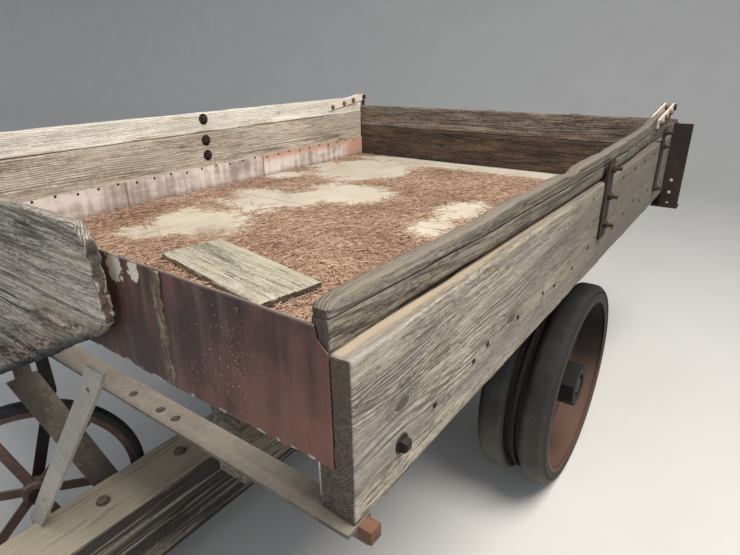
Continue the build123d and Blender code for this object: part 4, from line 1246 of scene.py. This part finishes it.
def bed_grid(name, cell, edge):
    """A flat grid over the floor, short of its edges, whose points hold the drift map."""
    xs = np.linspace(-inner_half + edge, inner_half - edge, round(2 * inner_half / cell))
    ys = np.linspace(bed_front + edge, wall_rear - edge, round((wall_rear - bed_front) / cell))
    points = [(x, y, floor_top) for y in ys for x in xs]
    row = len(xs)
    faces = [
        (j * row + i, j * row + i + 1, (j + 1) * row + i + 1, (j + 1) * row + i)
        for j in range(len(ys) - 1)
        for i in range(row - 1)
    ]
    mesh = bpy.data.meshes.new(name)
    mesh.from_pydata(points, [], faces)
    thickness = np.array([drift(x, y) for x, y, z in points], dtype=np.float32)
    mesh.attributes.new("thick", "FLOAT", "POINT").data.foreach_set("value", thickness)
    return mesh


bed_map = bed_grid("bed_map", MAP_CELL, MAP_EDGE)
print("drift map points", len(bed_map.vertices))

# %% [markdown]
# ### Needles
# A needle is a short curve with a slight bow, given a triangular section. The tree scatters it by the
# map, and three lots of different length are laid over each other.

# %% Needles
# Painted shade: the straw darkens towards the endgate, which shades it.
GATE_SHADE_STRAW = (0.120, 0.078, 0.052)
SHADE_FROM, SHADE_TO = wall_rear - 0.24, wall_rear - 0.04


def shade_near_gate(m, colour):
    """Painted shade: darkens the straw near the endgate, which shades it."""
    return m.mix(colour, GATE_SHADE_STRAW, m.y.rise(SHADE_FROM, SHADE_TO) * 0.7)


def straw_finish(name, dark, mid, pale):
    m = Finish(name)
    stalk = m.noise(m.x * 42.0, m.y * 42.0, m.z * 150.0, detail=2.0, rough=0.8)
    broad = m.even(3.0)
    colour = m.ramp(stalk * 0.75 + broad * 0.25, [(0.36, dark), (0.52, mid), (0.66, pale)])
    # With painted shade near the endgate.
    return m.finish(shade_near_gate(m, colour), 0.8)


NEEDLE_TONES = ((0.230, 0.125, 0.085), (0.480, 0.310, 0.215), (0.680, 0.520, 0.385))
needle_brown = straw_finish("needle_brown", *NEEDLE_TONES)
NEEDLE_RADIUS = 0.00105
# How many needles to a square metre where the straw is thick, and how long they are
NEEDLE_LOTS = ((2600.0, 0.105), (2300.0, 0.085), (2000.0, 0.130))


def needle_tree():
    inputs = {
        "Density": "NodeSocketFloat",
        "Length": "NodeSocketFloat",
        "Radius": "NodeSocketFloat",
        "Seed": "NodeSocketInt",
    }
    b = Builder("straw needles", inputs)
    thick = b.node("GeometryNodeInputNamedAttribute", {"data_type": "FLOAT"}, {"Name": "thick"})
    dense = b.maths("MULTIPLY", thick, b.take("Density"))
    spread = b.node(
        "GeometryNodeDistributePointsOnFaces",
        {"distribute_method": "RANDOM"},
        {"Mesh": b.take("Geometry"), "Density": dense, "Seed": b.take("Seed")},
    )
    half = b.maths("MULTIPLY", b.take("Length"), 0.5)
    back = b.maths("MULTIPLY", half, -1.0)
    bow = b.maths("MULTIPLY", b.take("Length"), 0.14)
    points = {"Start": b.vector(x=back), "Middle": b.vector(y=bow, z=0.004), "End": b.vector(x=half)}
    line = b.node("GeometryNodeCurveQuadraticBezier", None, {"Resolution": 3, **points})
    section = {"Resolution": 3, "Radius": b.take("Radius")}
    ring = b.node("GeometryNodeCurvePrimitiveCircle", None, section)
    sockets = {"Curve": line, "Profile Curve": ring, "Fill Caps": True}
    tube = b.node("GeometryNodeCurveToMesh", None, sockets)
    turn = b.any_turn((-0.10, -0.12, -2.6), (0.10, 0.12, 2.6), b.take("Seed"))
    size = b.chance(0.55, 1.5, b.take("Seed"))
    sockets = {"Points": spread, "Instance": tube, "Rotation": turn, "Scale": size}
    placed = b.node("GeometryNodeInstanceOnPoints", None, sockets)
    lift = b.maths("MULTIPLY", b.chance(0.0015, 0.014, 5), thick)
    sockets = {"Instances": placed, "Translation": b.vector(z=lift), "Local Space": False}
    b.close(b.node("GeometryNodeTranslateInstances", None, sockets), needle_brown)
    return b


needles = needle_tree()
for number, (density, length) in enumerate(NEEDLE_LOTS):
    sizes = {"Density": density, "Length": length, "Radius": NEEDLE_RADIUS, "Seed": 11 + number}
    straw = needles.grow(f"straw_{number}", bed_map.copy(), sizes)
    add_piece(f"straw_{number}", straw, None, "wagon", [])
    print("needles", number, len(straw.polygons))

# %% [markdown]
# ### The mat under the needles
# Packed short straw fills the ground between the needles. It is a fine grid over the floor that rises
# where the map is high and sinks just under the boards where it is low.

# %% The mat under the needles
MAT_CELL, MAT_EDGE = 0.016, 0.006
MAT_SUNK, MAT_HIGH, MAT_FROM = -0.004, 0.012, 0.30


def mat_finish():
    """Packed short straw seen from above: two crossed streak patterns in straw colours."""
    m = Finish("straw_mat")
    bend = m.noise(m.x * 6.0, m.y * 6.0, m.z, detail=2.0) * 9.0
    one = m.noise(m.x * 160.0 + bend, m.y * 24.0 - bend, m.z, detail=3.0, rough=0.7)
    two = m.noise(m.x * 34.0 - bend, m.y * 170.0 + bend, m.z, detail=3.0, rough=0.7)
    shade = one.most(two) * 0.8 + one.least(two) * 0.3
    tones = [(0.44, (0.180, 0.100, 0.066)), (0.56, (0.400, 0.255, 0.175)), (0.70, (0.600, 0.440, 0.320))]
    # With painted shade near the endgate.
    return m.finish(shade_near_gate(m, m.ramp(shade, tones)), 0.9, one + two, 0.004)


mat = bed_grid("straw_mat", MAT_CELL, MAT_EDGE)
thickness = np.empty(len(mat.vertices), np.float32)
mat.attributes["thick"].data.foreach_get("value", thickness)
for point, thick in zip(mat.vertices, thickness):
    lump = 0.5 + 0.5 * noise.noise(point.co * 21.0) + 0.3 * noise.noise(point.co * 60.0)
    point.co.z += MAT_SUNK + MAT_HIGH * max(0.0, thick - MAT_FROM) * (0.4 + lump)
add_piece("straw_mat", mat, mat_finish(), "wagon", ["straw_layer"])
print("mat", len(mat.polygons))

# %% [markdown]
# ## Wheels
# Tyres and rims are turned forms, so each is a section spun round the axle. Corners of the section
# are rounded with arcs first: worn rubber and rolled steel have no sharp corner.


# %% Turned pieces
def rounded(section, radii):
    """Points of a closed (x, radius) outline with each corner rounded by its own radius."""
    points = []
    count = len(section)
    for i, corner in enumerate(section):
        corner = Vector(corner)
        before = Vector(section[i - 1]) - corner
        after = Vector(section[(i + 1) % count]) - corner
        reach = min(radii[i], 0.45 * before.length, 0.45 * after.length)
        if reach < 1e-5:
            points.append(corner)
            continue
        start = corner + before.normalized() * reach
        stop = corner + after.normalized() * reach
        for step in range(6):
            share = step / 5
            points.append(start.lerp(corner, share).lerp(corner.lerp(stop, share), share))
    return points


def turned(name, section, centre, segments):
    """A closed section spun about the axle along X through (y, z), with faces outward."""
    ring = len(section)
    places = []
    for n in range(segments):
        angle = 2 * math.pi * n / segments
        for x, r in section:
            places.append((x, centre[0] + r * math.cos(angle), centre[1] + r * math.sin(angle)))
    faces = []
    for n in range(segments):
        here, there = n * ring, (n + 1) % segments * ring
        for i in range(ring):
            j = (i + 1) % ring
            faces.append((here + i, here + j, there + j, there + i))
    mesh = bpy.data.meshes.new(name)
    mesh.from_pydata(places, [], faces)
    outward = bmesh.new()
    outward.from_mesh(mesh)
    bmesh.ops.recalc_face_normals(outward, faces=outward.faces)
    outward.to_mesh(mesh)
    outward.free()
    return mesh


def tyre_outline(middle, half_section, crown):
    """One half of a tyre's section, its crown, and the same half on the other side."""
    one = [(middle - x, r) for x, r in half_section]
    other = [(middle + x, r) for x, r in reversed(half_section)]
    return [*one, (middle, crown), *other]


AXLE_AT = (box_front + 1.440, 0.400)
TYRE_R, RIM_R, FLANGE_R = 0.400, 0.352, 0.372
FLANGE_THICK = 0.006
TYRE_SOFT = (0, 0.001, 0.006, 0.012, 0.016, 0.03, 0.016, 0.012, 0.006, 0.001, 0)
for side in ("left", "right"):
    for place in ("inner", "outer"):
        low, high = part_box(f"tyre_{place}_{side}")
        middle = (low[0] + high[0]) / 2
        half = (high[0] - low[0]) / 2
        bead = half - 0.002 - FLANGE_THICK
        half_section = [
            (bead, RIM_R),
            (bead, FLANGE_R + 0.001),
            (half, FLANGE_R + 0.008),
            (half - 0.004, TYRE_R - 0.014),
            (half - 0.018, TYRE_R - 0.001),
        ]
        outline = rounded(tyre_outline(middle, half_section, TYRE_R), TYRE_SOFT)
        mesh = turned(f"rubber_{place}_{side}", outline, AXLE_AT, 160)
        body = f"wheels_{side}"
        add_piece(f"rubber_{place}_{side}", mesh, tyre_rubber, body, [f"tyre_{place}_{side}"])
print("tyres at", AXLE_AT)

# %% [markdown]
# ### Rims
# The steel rims are dished: each runs from its rolled flanges to a disc near the twin wheels' middle.
# Their rust is nearly black on the barrel and a little lighter in the dish. Over that the rim is painted
# darkest at the top, brown from a little above the axle down and pale salmon low on the wheel: the fall
# from the lit salmon to the dark top is painted shade.

# %% Rims
# Brown laid from a little above the axle down: a step of the painted shade by height.
SHADED_MID_BROWN = (0.048, 0.037, 0.031)
DISC_X = 0.877
RIM_SOFT = (0.002, 0.002, 0.002, 0.002, 0.002, 0.002, 0.012, 0.03, 0, 0, 0.03, 0.010, 0.004, 0.002)


def rim_finish(name, centre, barrel, disc, dust):
    """Rusted rim: one colour on its barrel, another in its dish, brown from the middle down and pale
    salmon below, a painted shade by height.
    """
    m = Finish(name)
    radius = ((m.y - centre[0]) ** 2.0 + (m.z - centre[1]) ** 2.0) ** 0.5
    broad = m.even(5.0, detail=6.0, rough=0.62)
    speckle = m.even(120.0, detail=4.0, rough=0.7)
    colour = m.mix(barrel, dim(barrel, 0.55), (broad + speckle * 0.3).rise(0.5, 0.75))
    dished = m.mix(disc, dim(disc, 0.6), (broad * 0.9 + speckle * 0.15).rise(0.46, 0.74))
    colour = m.mix(colour, dished, radius.rise(0.325, 0.300))
    # Painted shade by height: the top stays darkest, brown from a little above the axle down, and the
    # pale salmon rust shows only low on the wheel.
    middle = m.z.rise(centre[1] + 0.16, centre[1])
    colour = m.mix(colour, SHADED_MID_BROWN, middle * 0.7)
    lower = m.z.rise(centre[1] - 0.01, centre[1] - 0.13)
    colour = m.mix(colour, dust, lower * (0.55 + broad * 0.6))
    colour = m.mix(colour, dim(barrel, 0.5), radius.rise(RIM_R - 0.010, RIM_R - 0.006))
    return m.finish(colour, 0.75, speckle * 0.7 + broad * 0.3, 0.0009, 0.1)


# Barrel, dish, and the pale salmon low on the wheel that the painted shade by height ends in.
RIM_TONES = ((0.026, 0.018, 0.014), (0.048, 0.032, 0.025), (0.125, 0.064, 0.041))
rim_rust = rim_finish("rim_rust", AXLE_AT, *RIM_TONES)
for side, s in (("left", -1), ("right", 1)):
    for place, inward in (("inner", 1), ("outer", -1)):
        low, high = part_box(f"rim_{place}_{side}")
        centre_x = (low[0] + high[0]) / 2
        edge = (high[0] - low[0]) / 2
        face = abs(DISC_X - abs(centre_x))
        profile = [
            (-edge, FLANGE_R),
            (-edge + FLANGE_THICK, FLANGE_R),
            (-edge + FLANGE_THICK, RIM_R),
            (edge - FLANGE_THICK, RIM_R),
            (edge - FLANGE_THICK, FLANGE_R),
            (edge, FLANGE_R),
            (edge, RIM_R - 0.016),
            (face, 0.5 * RIM_R),
            (face, 0.090),
            (face - 0.010, 0.090),
            (face - 0.010, 0.5 * RIM_R),
            (edge - 0.010, RIM_R - 0.012),
            (-edge + 0.012, RIM_R - 0.012),
            (-edge, RIM_R - 0.018),
        ]
        section = [(centre_x + s * inward * x, r) for x, r in profile]
        mesh = turned(f"steel_{place}_{side}", rounded(section, RIM_SOFT), AXLE_AT, 144)
        replaced = [f"rim_{place}_{side}"]
        add_piece(f"steel_{place}_{side}", mesh, rim_rust, f"wheels_{side}", replaced)
print("rims", len(rounded(section, RIM_SOFT)), "points in a section")

# %% [markdown]
# ## Parking wheel
# The small wheel stands on a castor that was left turned. It is spun about an axle along X first, and
# then turned about the castor's upright axis, as the model's own wheel is.

# %% Parking wheel
PARK_TURN = math.radians(-25)
PARK_DEEP, PARK_WIDE = 0.026, 0.044
park_low, park_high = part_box("parking_tyre")
park_x, park_y = (park_low[0] + park_high[0]) / 2, (park_low[1] + park_high[1]) / 2
PARK_R = (park_high[2] - park_low[2]) / 2
park_seat = PARK_R - PARK_DEEP
park_edge = PARK_WIDE / 2
park_half = [
    (park_edge - 0.001, park_seat),
    (park_edge, park_seat + 0.010),
    (park_edge - 0.003, PARK_R - 0.006),
]
PARK_SOFT = (0, 0.008, 0.008, 0.02, 0.008, 0.008, 0)
park_outline = rounded(tyre_outline(park_x, park_half, PARK_R), PARK_SOFT)
mesh = turned("rubber_parking", park_outline, (park_y, park_low[2] + PARK_R), 128)
castor = Vector((park_x, park_y, 0))
park_turn = Matrix.Rotation(PARK_TURN, 4, "Z")
mesh.transform(Matrix.Translation(castor) @ park_turn @ Matrix.Translation(-castor))
add_piece("rubber_parking", mesh, rubber_dark, "parking_wheel", ["parking_tyre"])
paint("parking_rim", metals["rim_brown"])
print("parking wheel at", round(park_x, 3), round(park_y, 3))

# %% [markdown]
# ## Iron work
# Straps, posts, springs and braces keep their solids, whose shapes are right, and get finishes: dark
# iron where paint and grease lasted, pale dusty steel on the braces, bright rust on the small block.

# %% Finishes on the solids
FINISHES = {
    "dark_iron": (
        "side_straps",
        "corner_posts",
        "spring_hangers",
        "tongue_clamp",
        "hinge_bolts",
        "parking_arm",
        "parking_pin",
        "hitch_plates",
    ),
    "spring_iron": ("leaf_springs", "axle"),
    "hub_iron": ("hub_left", "hub_right", "wheel_clamp_left", "wheel_clamp_right"),
    "dusty_steel": ("cross_angle_front", "brace_plate"),
    "brown_steel": ("cross_angle_rear", "gate_battens", "gate_hinges"),
    "bright_steel": ("eye_straps",),
    "pale_steel": ("brace_bar",),
    "orange_rust": ("corner_block",),
}
for finish, names in FINISHES.items():
    for name in names:
        paint(name, metals[finish])
print("iron parts painted", sum(len(names) for names in FINISHES.values()))

# %% [markdown]
# ### Hidden timber
# Sills, joists and the cleats behind the front boards keep their solids too, in plain dark wood.

# %% Hidden timber
FRAME_TONES = ((0.045, 0.037, 0.029), (0.140, 0.115, 0.088), (0.230, 0.195, 0.150))
under_wood = wood("under_wood", FRAME_TONES, along="y", pith=(0.9, 0.3), seed=81.0)
cross_wood = wood("cross_wood", FRAME_TONES, along="x", pith=(0.9, 0.3), seed=85.0)
cleat_wood = wood(
    "cleat_wood", ((0.060, 0.052, 0.036), (0.185, 0.165, 0.115), (0.300, 0.275, 0.200)), along="z",
    across="x", pith=(-0.3, -0.4), ring=0.006, tint=(0.30, 0.28, 0.15), tint_share=0.3, seed=88.0,
)
paint("sills", under_wood)
paint("floor_joists", cross_wood)
paint("front_cleats", cleat_wood)
for body, names in frame["record"]["behaviour"]["bodies"].items():
    slots = [nodes[n].material_slots for n in names]
    bare = sum(not slot or not slot[0].material.use_nodes for slot in slots)
    print(body, "nodes", len(names), "without a finish", bare)

# %% [markdown]
# ## Bolts and nails
# Bolts with square or six-sided nuts and cut nails hold everything. One Geometry Nodes tree makes
# both: a head on a washer, with a stub of thread, set on each point along that point's own direction
# and turned by a seeded angle, so that no two nuts line up.


# %% Fasteners
def fastener_tree(name, material):
    inputs = {
        "Across": "NodeSocketFloat",
        "Thick": "NodeSocketFloat",
        "Washer": "NodeSocketFloat",
        "Stub": "NodeSocketFloat",
        "Sides": "NodeSocketInt",
        "Seed": "NodeSocketInt",
    }
    b = Builder(name, inputs)

    def post(radius, high, sides, base, taper):
        sockets = {
            "Vertices": sides,
            "Radius Top": b.maths("MULTIPLY", radius, taper),
            "Radius Bottom": radius,
            "Depth": high,
        }
        cone = b.node("GeometryNodeMeshCone", None, sockets)
        shift = b.vector(z=base)
        return b.node("GeometryNodeTransform", None, {"Geometry": cone, "Translation": shift})

    def width(share):
        return b.maths("MULTIPLY", b.take("Across"), share)

    thick = b.take("Thick")
    washer_thick = b.maths("MULTIPLY", thick, 0.22)
    head_thick = b.maths("MULTIPLY", thick, 0.8)
    crown_at = b.maths("ADD", washer_thick, head_thick)
    washer = post(width(b.take("Washer")), washer_thick, 18, 0.0, 0.94)
    head = post(width(0.5), head_thick, b.take("Sides"), washer_thick, 0.96)
    crown = post(width(0.48), b.maths("MULTIPLY", thick, 0.2), b.take("Sides"), crown_at, 0.72)
    stub = post(width(0.24), b.take("Stub"), 10, 0.0, 0.9)
    whole = b.node("GeometryNodeJoinGeometry", None, {0: [washer, head, crown, stub]})
    out = b.node("GeometryNodeInputNamedAttribute", {"data_type": "FLOAT_VECTOR"}, {"Name": "out"})
    facing = b.node("FunctionNodeAlignRotationToVector", {"axis": "Z"}, {"Vector": out})
    sockets = {"Points": b.take("Geometry"), "Instance": whole, "Rotation": facing}
    turned_out = b.node("GeometryNodeInstanceOnPoints", None, sockets)
    spin = b.vector(z=b.chance(0.0, 6.283, b.take("Seed")))
    lean = b.any_turn((-0.05, -0.05, 0.0), (0.05, 0.05, 0.0), b.take("Seed"))
    for turn in (spin, lean):
        sockets = {"Instances": turned_out, "Rotation": turn, "Local Space": True}
        turned_out = b.node("GeometryNodeRotateInstances", None, sockets)
    b.close(turned_out, material)
    return b


def fasten(name, tree, places, body, sizes):
    """Sets a fastener at each (place, outward direction)."""
    mesh = bpy.data.meshes.new(name)
    mesh.from_pydata([tuple(place) for place, out in places], [], [])
    outward = np.array([tuple(out) for place, out in places], dtype=np.float32)
    mesh.attributes.new("out", "FLOAT_VECTOR", "POINT").data.foreach_set("vector", outward.ravel())
    made = tree.grow(name, mesh, sizes)
    add_piece(name, made, None, body, [], smooth=False)
    print(name, len(places), "faces", len(made.polygons))


dark_bolts = fastener_tree("dark fasteners", metals["dark_iron"])
rusty_bolts = fastener_tree("rusty fasteners", metals["brown_steel"])
SQUARE_NUT = {"Across": 0.040, "Thick": 0.013, "Washer": 0.68, "Stub": 0.018, "Sides": 4, "Seed": 3}
STRAP_BOLT = {"Across": 0.026, "Thick": 0.011, "Washer": 0.62, "Stub": 0.030, "Sides": 6, "Seed": 4}
ROUND_HEAD = {"Across": 0.034, "Thick": 0.009, "Washer": 0.62, "Stub": 0.005, "Sides": 16, "Seed": 5}
NAIL = {"Across": 0.011, "Thick": 0.0022, "Washer": 0.40, "Stub": 0.0015, "Sides": 9, "Seed": 6}
print("fastener trees", dark_bolts.tree.name, "and", rusty_bolts.tree.name)

# %% [markdown]
# ### Bolts of the box
# Heights are above the underside of the floor, and places along the box are counted from its front.

# %% Bolts of the box
# A head is set this little into the face that it sits on
SEATED = 0.0005
strap_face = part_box("side_straps")[1][0]
STRAP_ROWS = ((1.312, (0.322, 0.236, 0.144)), (2.268, (0.327, 0.267, 0.079)))
strap_bolts = []
for y, heights in STRAP_ROWS:
    for height in heights:
        for s in (-1, 1):
            strap_bolts.append(((s * (strap_face - SEATED), box_front + y, deck + height), (s, 0, 0)))
fasten("strap_bolts", dark_bolts, strap_bolts, "wagon", STRAP_BOLT)

wall_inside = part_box("inner_board_lower_right")[0][0]
PLANK_BOLT_AT, PLANK_BOLT_HIGH = 0.125, 0.072
PLANK_BOLT = {**SQUARE_NUT, "Across": 0.027, "Stub": 0.016, "Seed": 8}
plank_bolts = []
for s in (-1, 1):
    place = (s * (OUTER_FACE - 0.001), box_front + PLANK_BOLT_AT, deck + PLANK_BOLT_HIGH)
    plank_bolts.append((place, (s, 0, 0)))
fasten("plank_bolts", dark_bolts, plank_bolts, "wagon", PLANK_BOLT)

# Three bolts go through both walls: height at the left, height at the right, share of the bow there
THROUGH_AT = 1.307
THROUGH_ROWS = ((0.375, 0.350, 1.0), (0.270, 0.260, 0.0), (0.195, 0.195, 0.0))
bow_there = float(np.interp(THROUGH_AT, LEAN_AT, LEAN_BY))
through_bolts = []
for left_height, right_height, share in THROUGH_ROWS:
    y = box_front + THROUGH_AT
    through_bolts.append(((-wall_inside - 0.001, y, deck + left_height), (1, 0, 0)))
    right_face = wall_inside + share * bow_there
    through_bolts.append(((right_face + 0.001, y, deck + right_height), (-1, 0, 0)))
fasten("through_bolts", dark_bolts, through_bolts, "wagon", SQUARE_NUT)

eye_low, eye_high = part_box("eye_straps")
EYE_HIGH = 0.038
eye_slope = (eye_high[2] - eye_low[2] - EYE_HIGH) / (eye_high[1] - EYE_HIGH / 2 - eye_low[1])
EYE_BOLTS_ALONG = (0.030, 0.150, 0.250)
EYE_BOLT = {**STRAP_BOLT, "Stub": 0.016, "Seed": 9}
eye_bolts = []
for along in EYE_BOLTS_ALONG:
    y = eye_low[1] + along
    z = eye_low[2] + EYE_HIGH / 2 + along * eye_slope
    for s in (-1, 1):
        eye_bolts.append(((s * (wall_inside - 0.0065), y, z), (-s, 0, 0)))
        eye_bolts.append(((s * (eye_high[0] - SEATED), y, z), (s, 0, 0)))
fasten("eye_bolts", rusty_bolts, eye_bolts, "wagon", EYE_BOLT)

# %% [markdown]
# ### Bolts of the tongue, the endgate and the wheels
# The wheel nuts ride on the wheels, and the endgate's bolts swing with it.

# %% Bolts of the moving parts
# Places across the wagon and along from the box's front
TONGUE_BOLTS_AT = ((-0.013, 0.056), (-0.013, 0.329), (0.020, -0.95))
tongue_top = tongue_high[2] - 0.001
tongue_bolts = [((x, box_front + y, tongue_top), (0, 0, 1)) for x, y in TONGUE_BOLTS_AT]
fasten("tongue_bolts", rusty_bolts, tongue_bolts, "wagon", ROUND_HEAD)

gate_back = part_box("gate_battens")[1][1]
GATE_BOLT_ROWS = (-0.961, -0.5, 0.0, 0.5, 0.961)
GATE_BOLT_HEIGHTS = (0.07, 0.16, 0.25, 0.32)
GATE_BOLT = {**STRAP_BOLT, "Stub": 0.014, "Seed": 12}
gate_bolts = []
for x in GATE_BOLT_ROWS:
    for height in GATE_BOLT_HEIGHTS:
        gate_bolts.append(((x, gate_back - SEATED, deck + height), (0, 1, 0)))
fasten("gate_bolts", dark_bolts, gate_bolts, "endgate", GATE_BOLT)
STUD_CIRCLE, STUDS = 0.122, 8
WHEEL_NUT = {**STRAP_BOLT, "Across": 0.030, "Stub": 0.026}
for side, s in (("left", -1), ("right", 1)):
    clamp_face = max(abs(corner[0]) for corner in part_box(f"wheel_clamp_{side}"))
    studs = []
    for n in range(STUDS):
        turn = 2 * math.pi * (n + 0.5) / STUDS
        y = AXLE_AT[0] + STUD_CIRCLE * math.cos(turn)
        z = AXLE_AT[1] + STUD_CIRCLE * math.sin(turn)
        studs.append(((s * (clamp_face - SEATED), y, z), (s, 0, 0)))
    fasten(f"wheel_nuts_{side}", dark_bolts, studs, f"wheels_{side}", WHEEL_NUT)

# %% [markdown]
# ### Nails
# Nails show as small flat heads in rows: two along each outer plank, one along each kick strip, and a
# few in the boards and the sheet across the front.

# %% Nails
# Where rows of evenly spaced nails start, how far apart they are, and how many there are
LOW_ROW, HIGH_ROW, KICK_ROW = (1.02, 0.155, 10), (1.16, 0.19, 8), (0.06, 0.092, 28)
plank_outside = OUTER_FACE - 0.0012
nail_places = []
# Place along and height of the first nails, read off the picture
NAILS_NEAR = (
    (0.232, 0.082),
    (0.385, 0.095),
    (0.449, 0.103),
    (0.612, 0.097),
    (0.778, 0.096),
    (0.867, 0.084),
)


def evenly(row):
    """The places of a row of evenly spaced nails."""
    start, step, count = row
    return [start + step * n for n in range(count)]


def both_sides(face, y, height, outward):
    """Puts the same nail in the left and in the right wall."""
    for s in (-1, 1):
        nail_places.append(((s * face, box_front + y, deck + height), (s * outward, 0, 0)))


low_row = [(y, 0.085 + 0.018 * (n % 3)) for n, y in enumerate(evenly(LOW_ROW))]
for y, height in (*NAILS_NEAR, *low_row):
    both_sides(plank_outside, y, height, 1)
for y in evenly(HIGH_ROW):
    both_sides(plank_outside, y, 0.255, 1)
kick_face = wall_inside - 0.003
for n, y in enumerate(evenly(KICK_ROW)):
    both_sides(kick_face - 0.0002, y, 0.128 + 0.004 * (n % 3), -1)
fasten("nails", dark_bolts, nail_places, "wagon", NAIL)
front_nails = []
for x in (-0.925, -0.295):
    for top in OLD_TOPS[:2]:
        for drop in (0.04, 0.14):
            shifted = x + 0.012 * math.sin(60 * drop)
            front_nails.append(((shifted, old_front[1] + 0.001, top - drop), (0, -1, 0)))
for x in (-0.6, -0.1, 0.3, 0.8):
    front_nails.append(((x, box_front + SEATED, deck + 0.30), (0, -1, 0)))
fasten("front_nails", rusty_bolts, front_nails, "wagon", NAIL)

# %% [markdown]
# ## Floor, backdrop and light
# The wagon stands on a plain pale floor that keeps its shadow. A large soft lamp stands on the right
# and above, as the open side of a barn would light it, and the world fills in the rest.

# %% Stage
STAGE_LEFT, STAGE_RIGHT = -34.0, 16.0
STAGE_FRONT, CURVE_FROM, CURVE_R = -14.0, 7.0, 4.0
STAGE_HIGH = 14.0
CURVE_STEPS = 24


def stage_finish():
    m = Finish("stage_pale")
    grain = m.even(2.0, detail=4.0)
    colour = m.mix((0.56, 0.55, 0.53), (0.62, 0.61, 0.59), grain)
    return m.finish(colour, 0.95)


stage_mesh = bpy.data.meshes.new("stage_floor")
profile = [(STAGE_FRONT, 0.0), (CURVE_FROM, 0.0)]
for n in range(1, CURVE_STEPS + 1):
    angle = math.pi / 2 * n / CURVE_STEPS
    profile.append((CURVE_FROM + CURVE_R * math.sin(angle), CURVE_R * (1 - math.cos(angle))))
profile.append((CURVE_FROM + CURVE_R, STAGE_HIGH))
stage_points = [(x, y, z) for y, z in profile for x in (STAGE_LEFT, STAGE_RIGHT)]
stage_faces = [(2 * n, 2 * n + 1, 2 * n + 3, 2 * n + 2) for n in range(len(profile) - 1)]
stage_mesh.from_pydata(stage_points, [], stage_faces)
stage_mesh.materials.append(stage_finish())
stage_mesh.shade_smooth()
stage = bpy.data.objects.new("stage_floor", stage_mesh)
bpy.context.scene.collection.objects.link(stage)
print("stage points", len(stage_points))

# %% [markdown]
# ### Lamps
# The key lamp is warm and soft, a weak cool lamp fills in from the front, and the sky does the rest.

# %% Lamps
SKY, SKY_STRENGTH = (0.80, 0.85, 0.92, 1), 0.50


def lamp(name, at, towards, size, power, colour):
    """A square soft lamp that looks at a place."""
    light = bpy.data.lights.new(name, "AREA")
    light.size = size
    light.energy = power
    light.color = colour
    holder = bpy.data.objects.new(name, light)
    bpy.context.scene.collection.objects.link(holder)
    direction = Vector(towards) - Vector(at)
    aim = direction.to_track_quat("-Z", "Y").to_matrix().to_4x4()
    holder.matrix_world = Matrix.Translation(at) @ aim


lamp("key", (2.5, 0.3, 5.2), (0.0, 0.6, 0.8), 2.6, 380, (1.0, 0.955, 0.88))
lamp("front_fill", (0.5, -6.0, 3.2), (0.0, 0.5, 0.7), 4.0, 90, (0.88, 0.93, 1.0))
world = bpy.data.worlds.new("soft")
world.use_nodes = True
background = world.node_tree.nodes["Background"]
background.inputs["Color"].default_value = SKY
background.inputs["Strength"].default_value = SKY_STRENGTH
bpy.context.scene.world = world
bpy.context.scene.view_settings.view_transform = "Standard"
print("lamps ready")
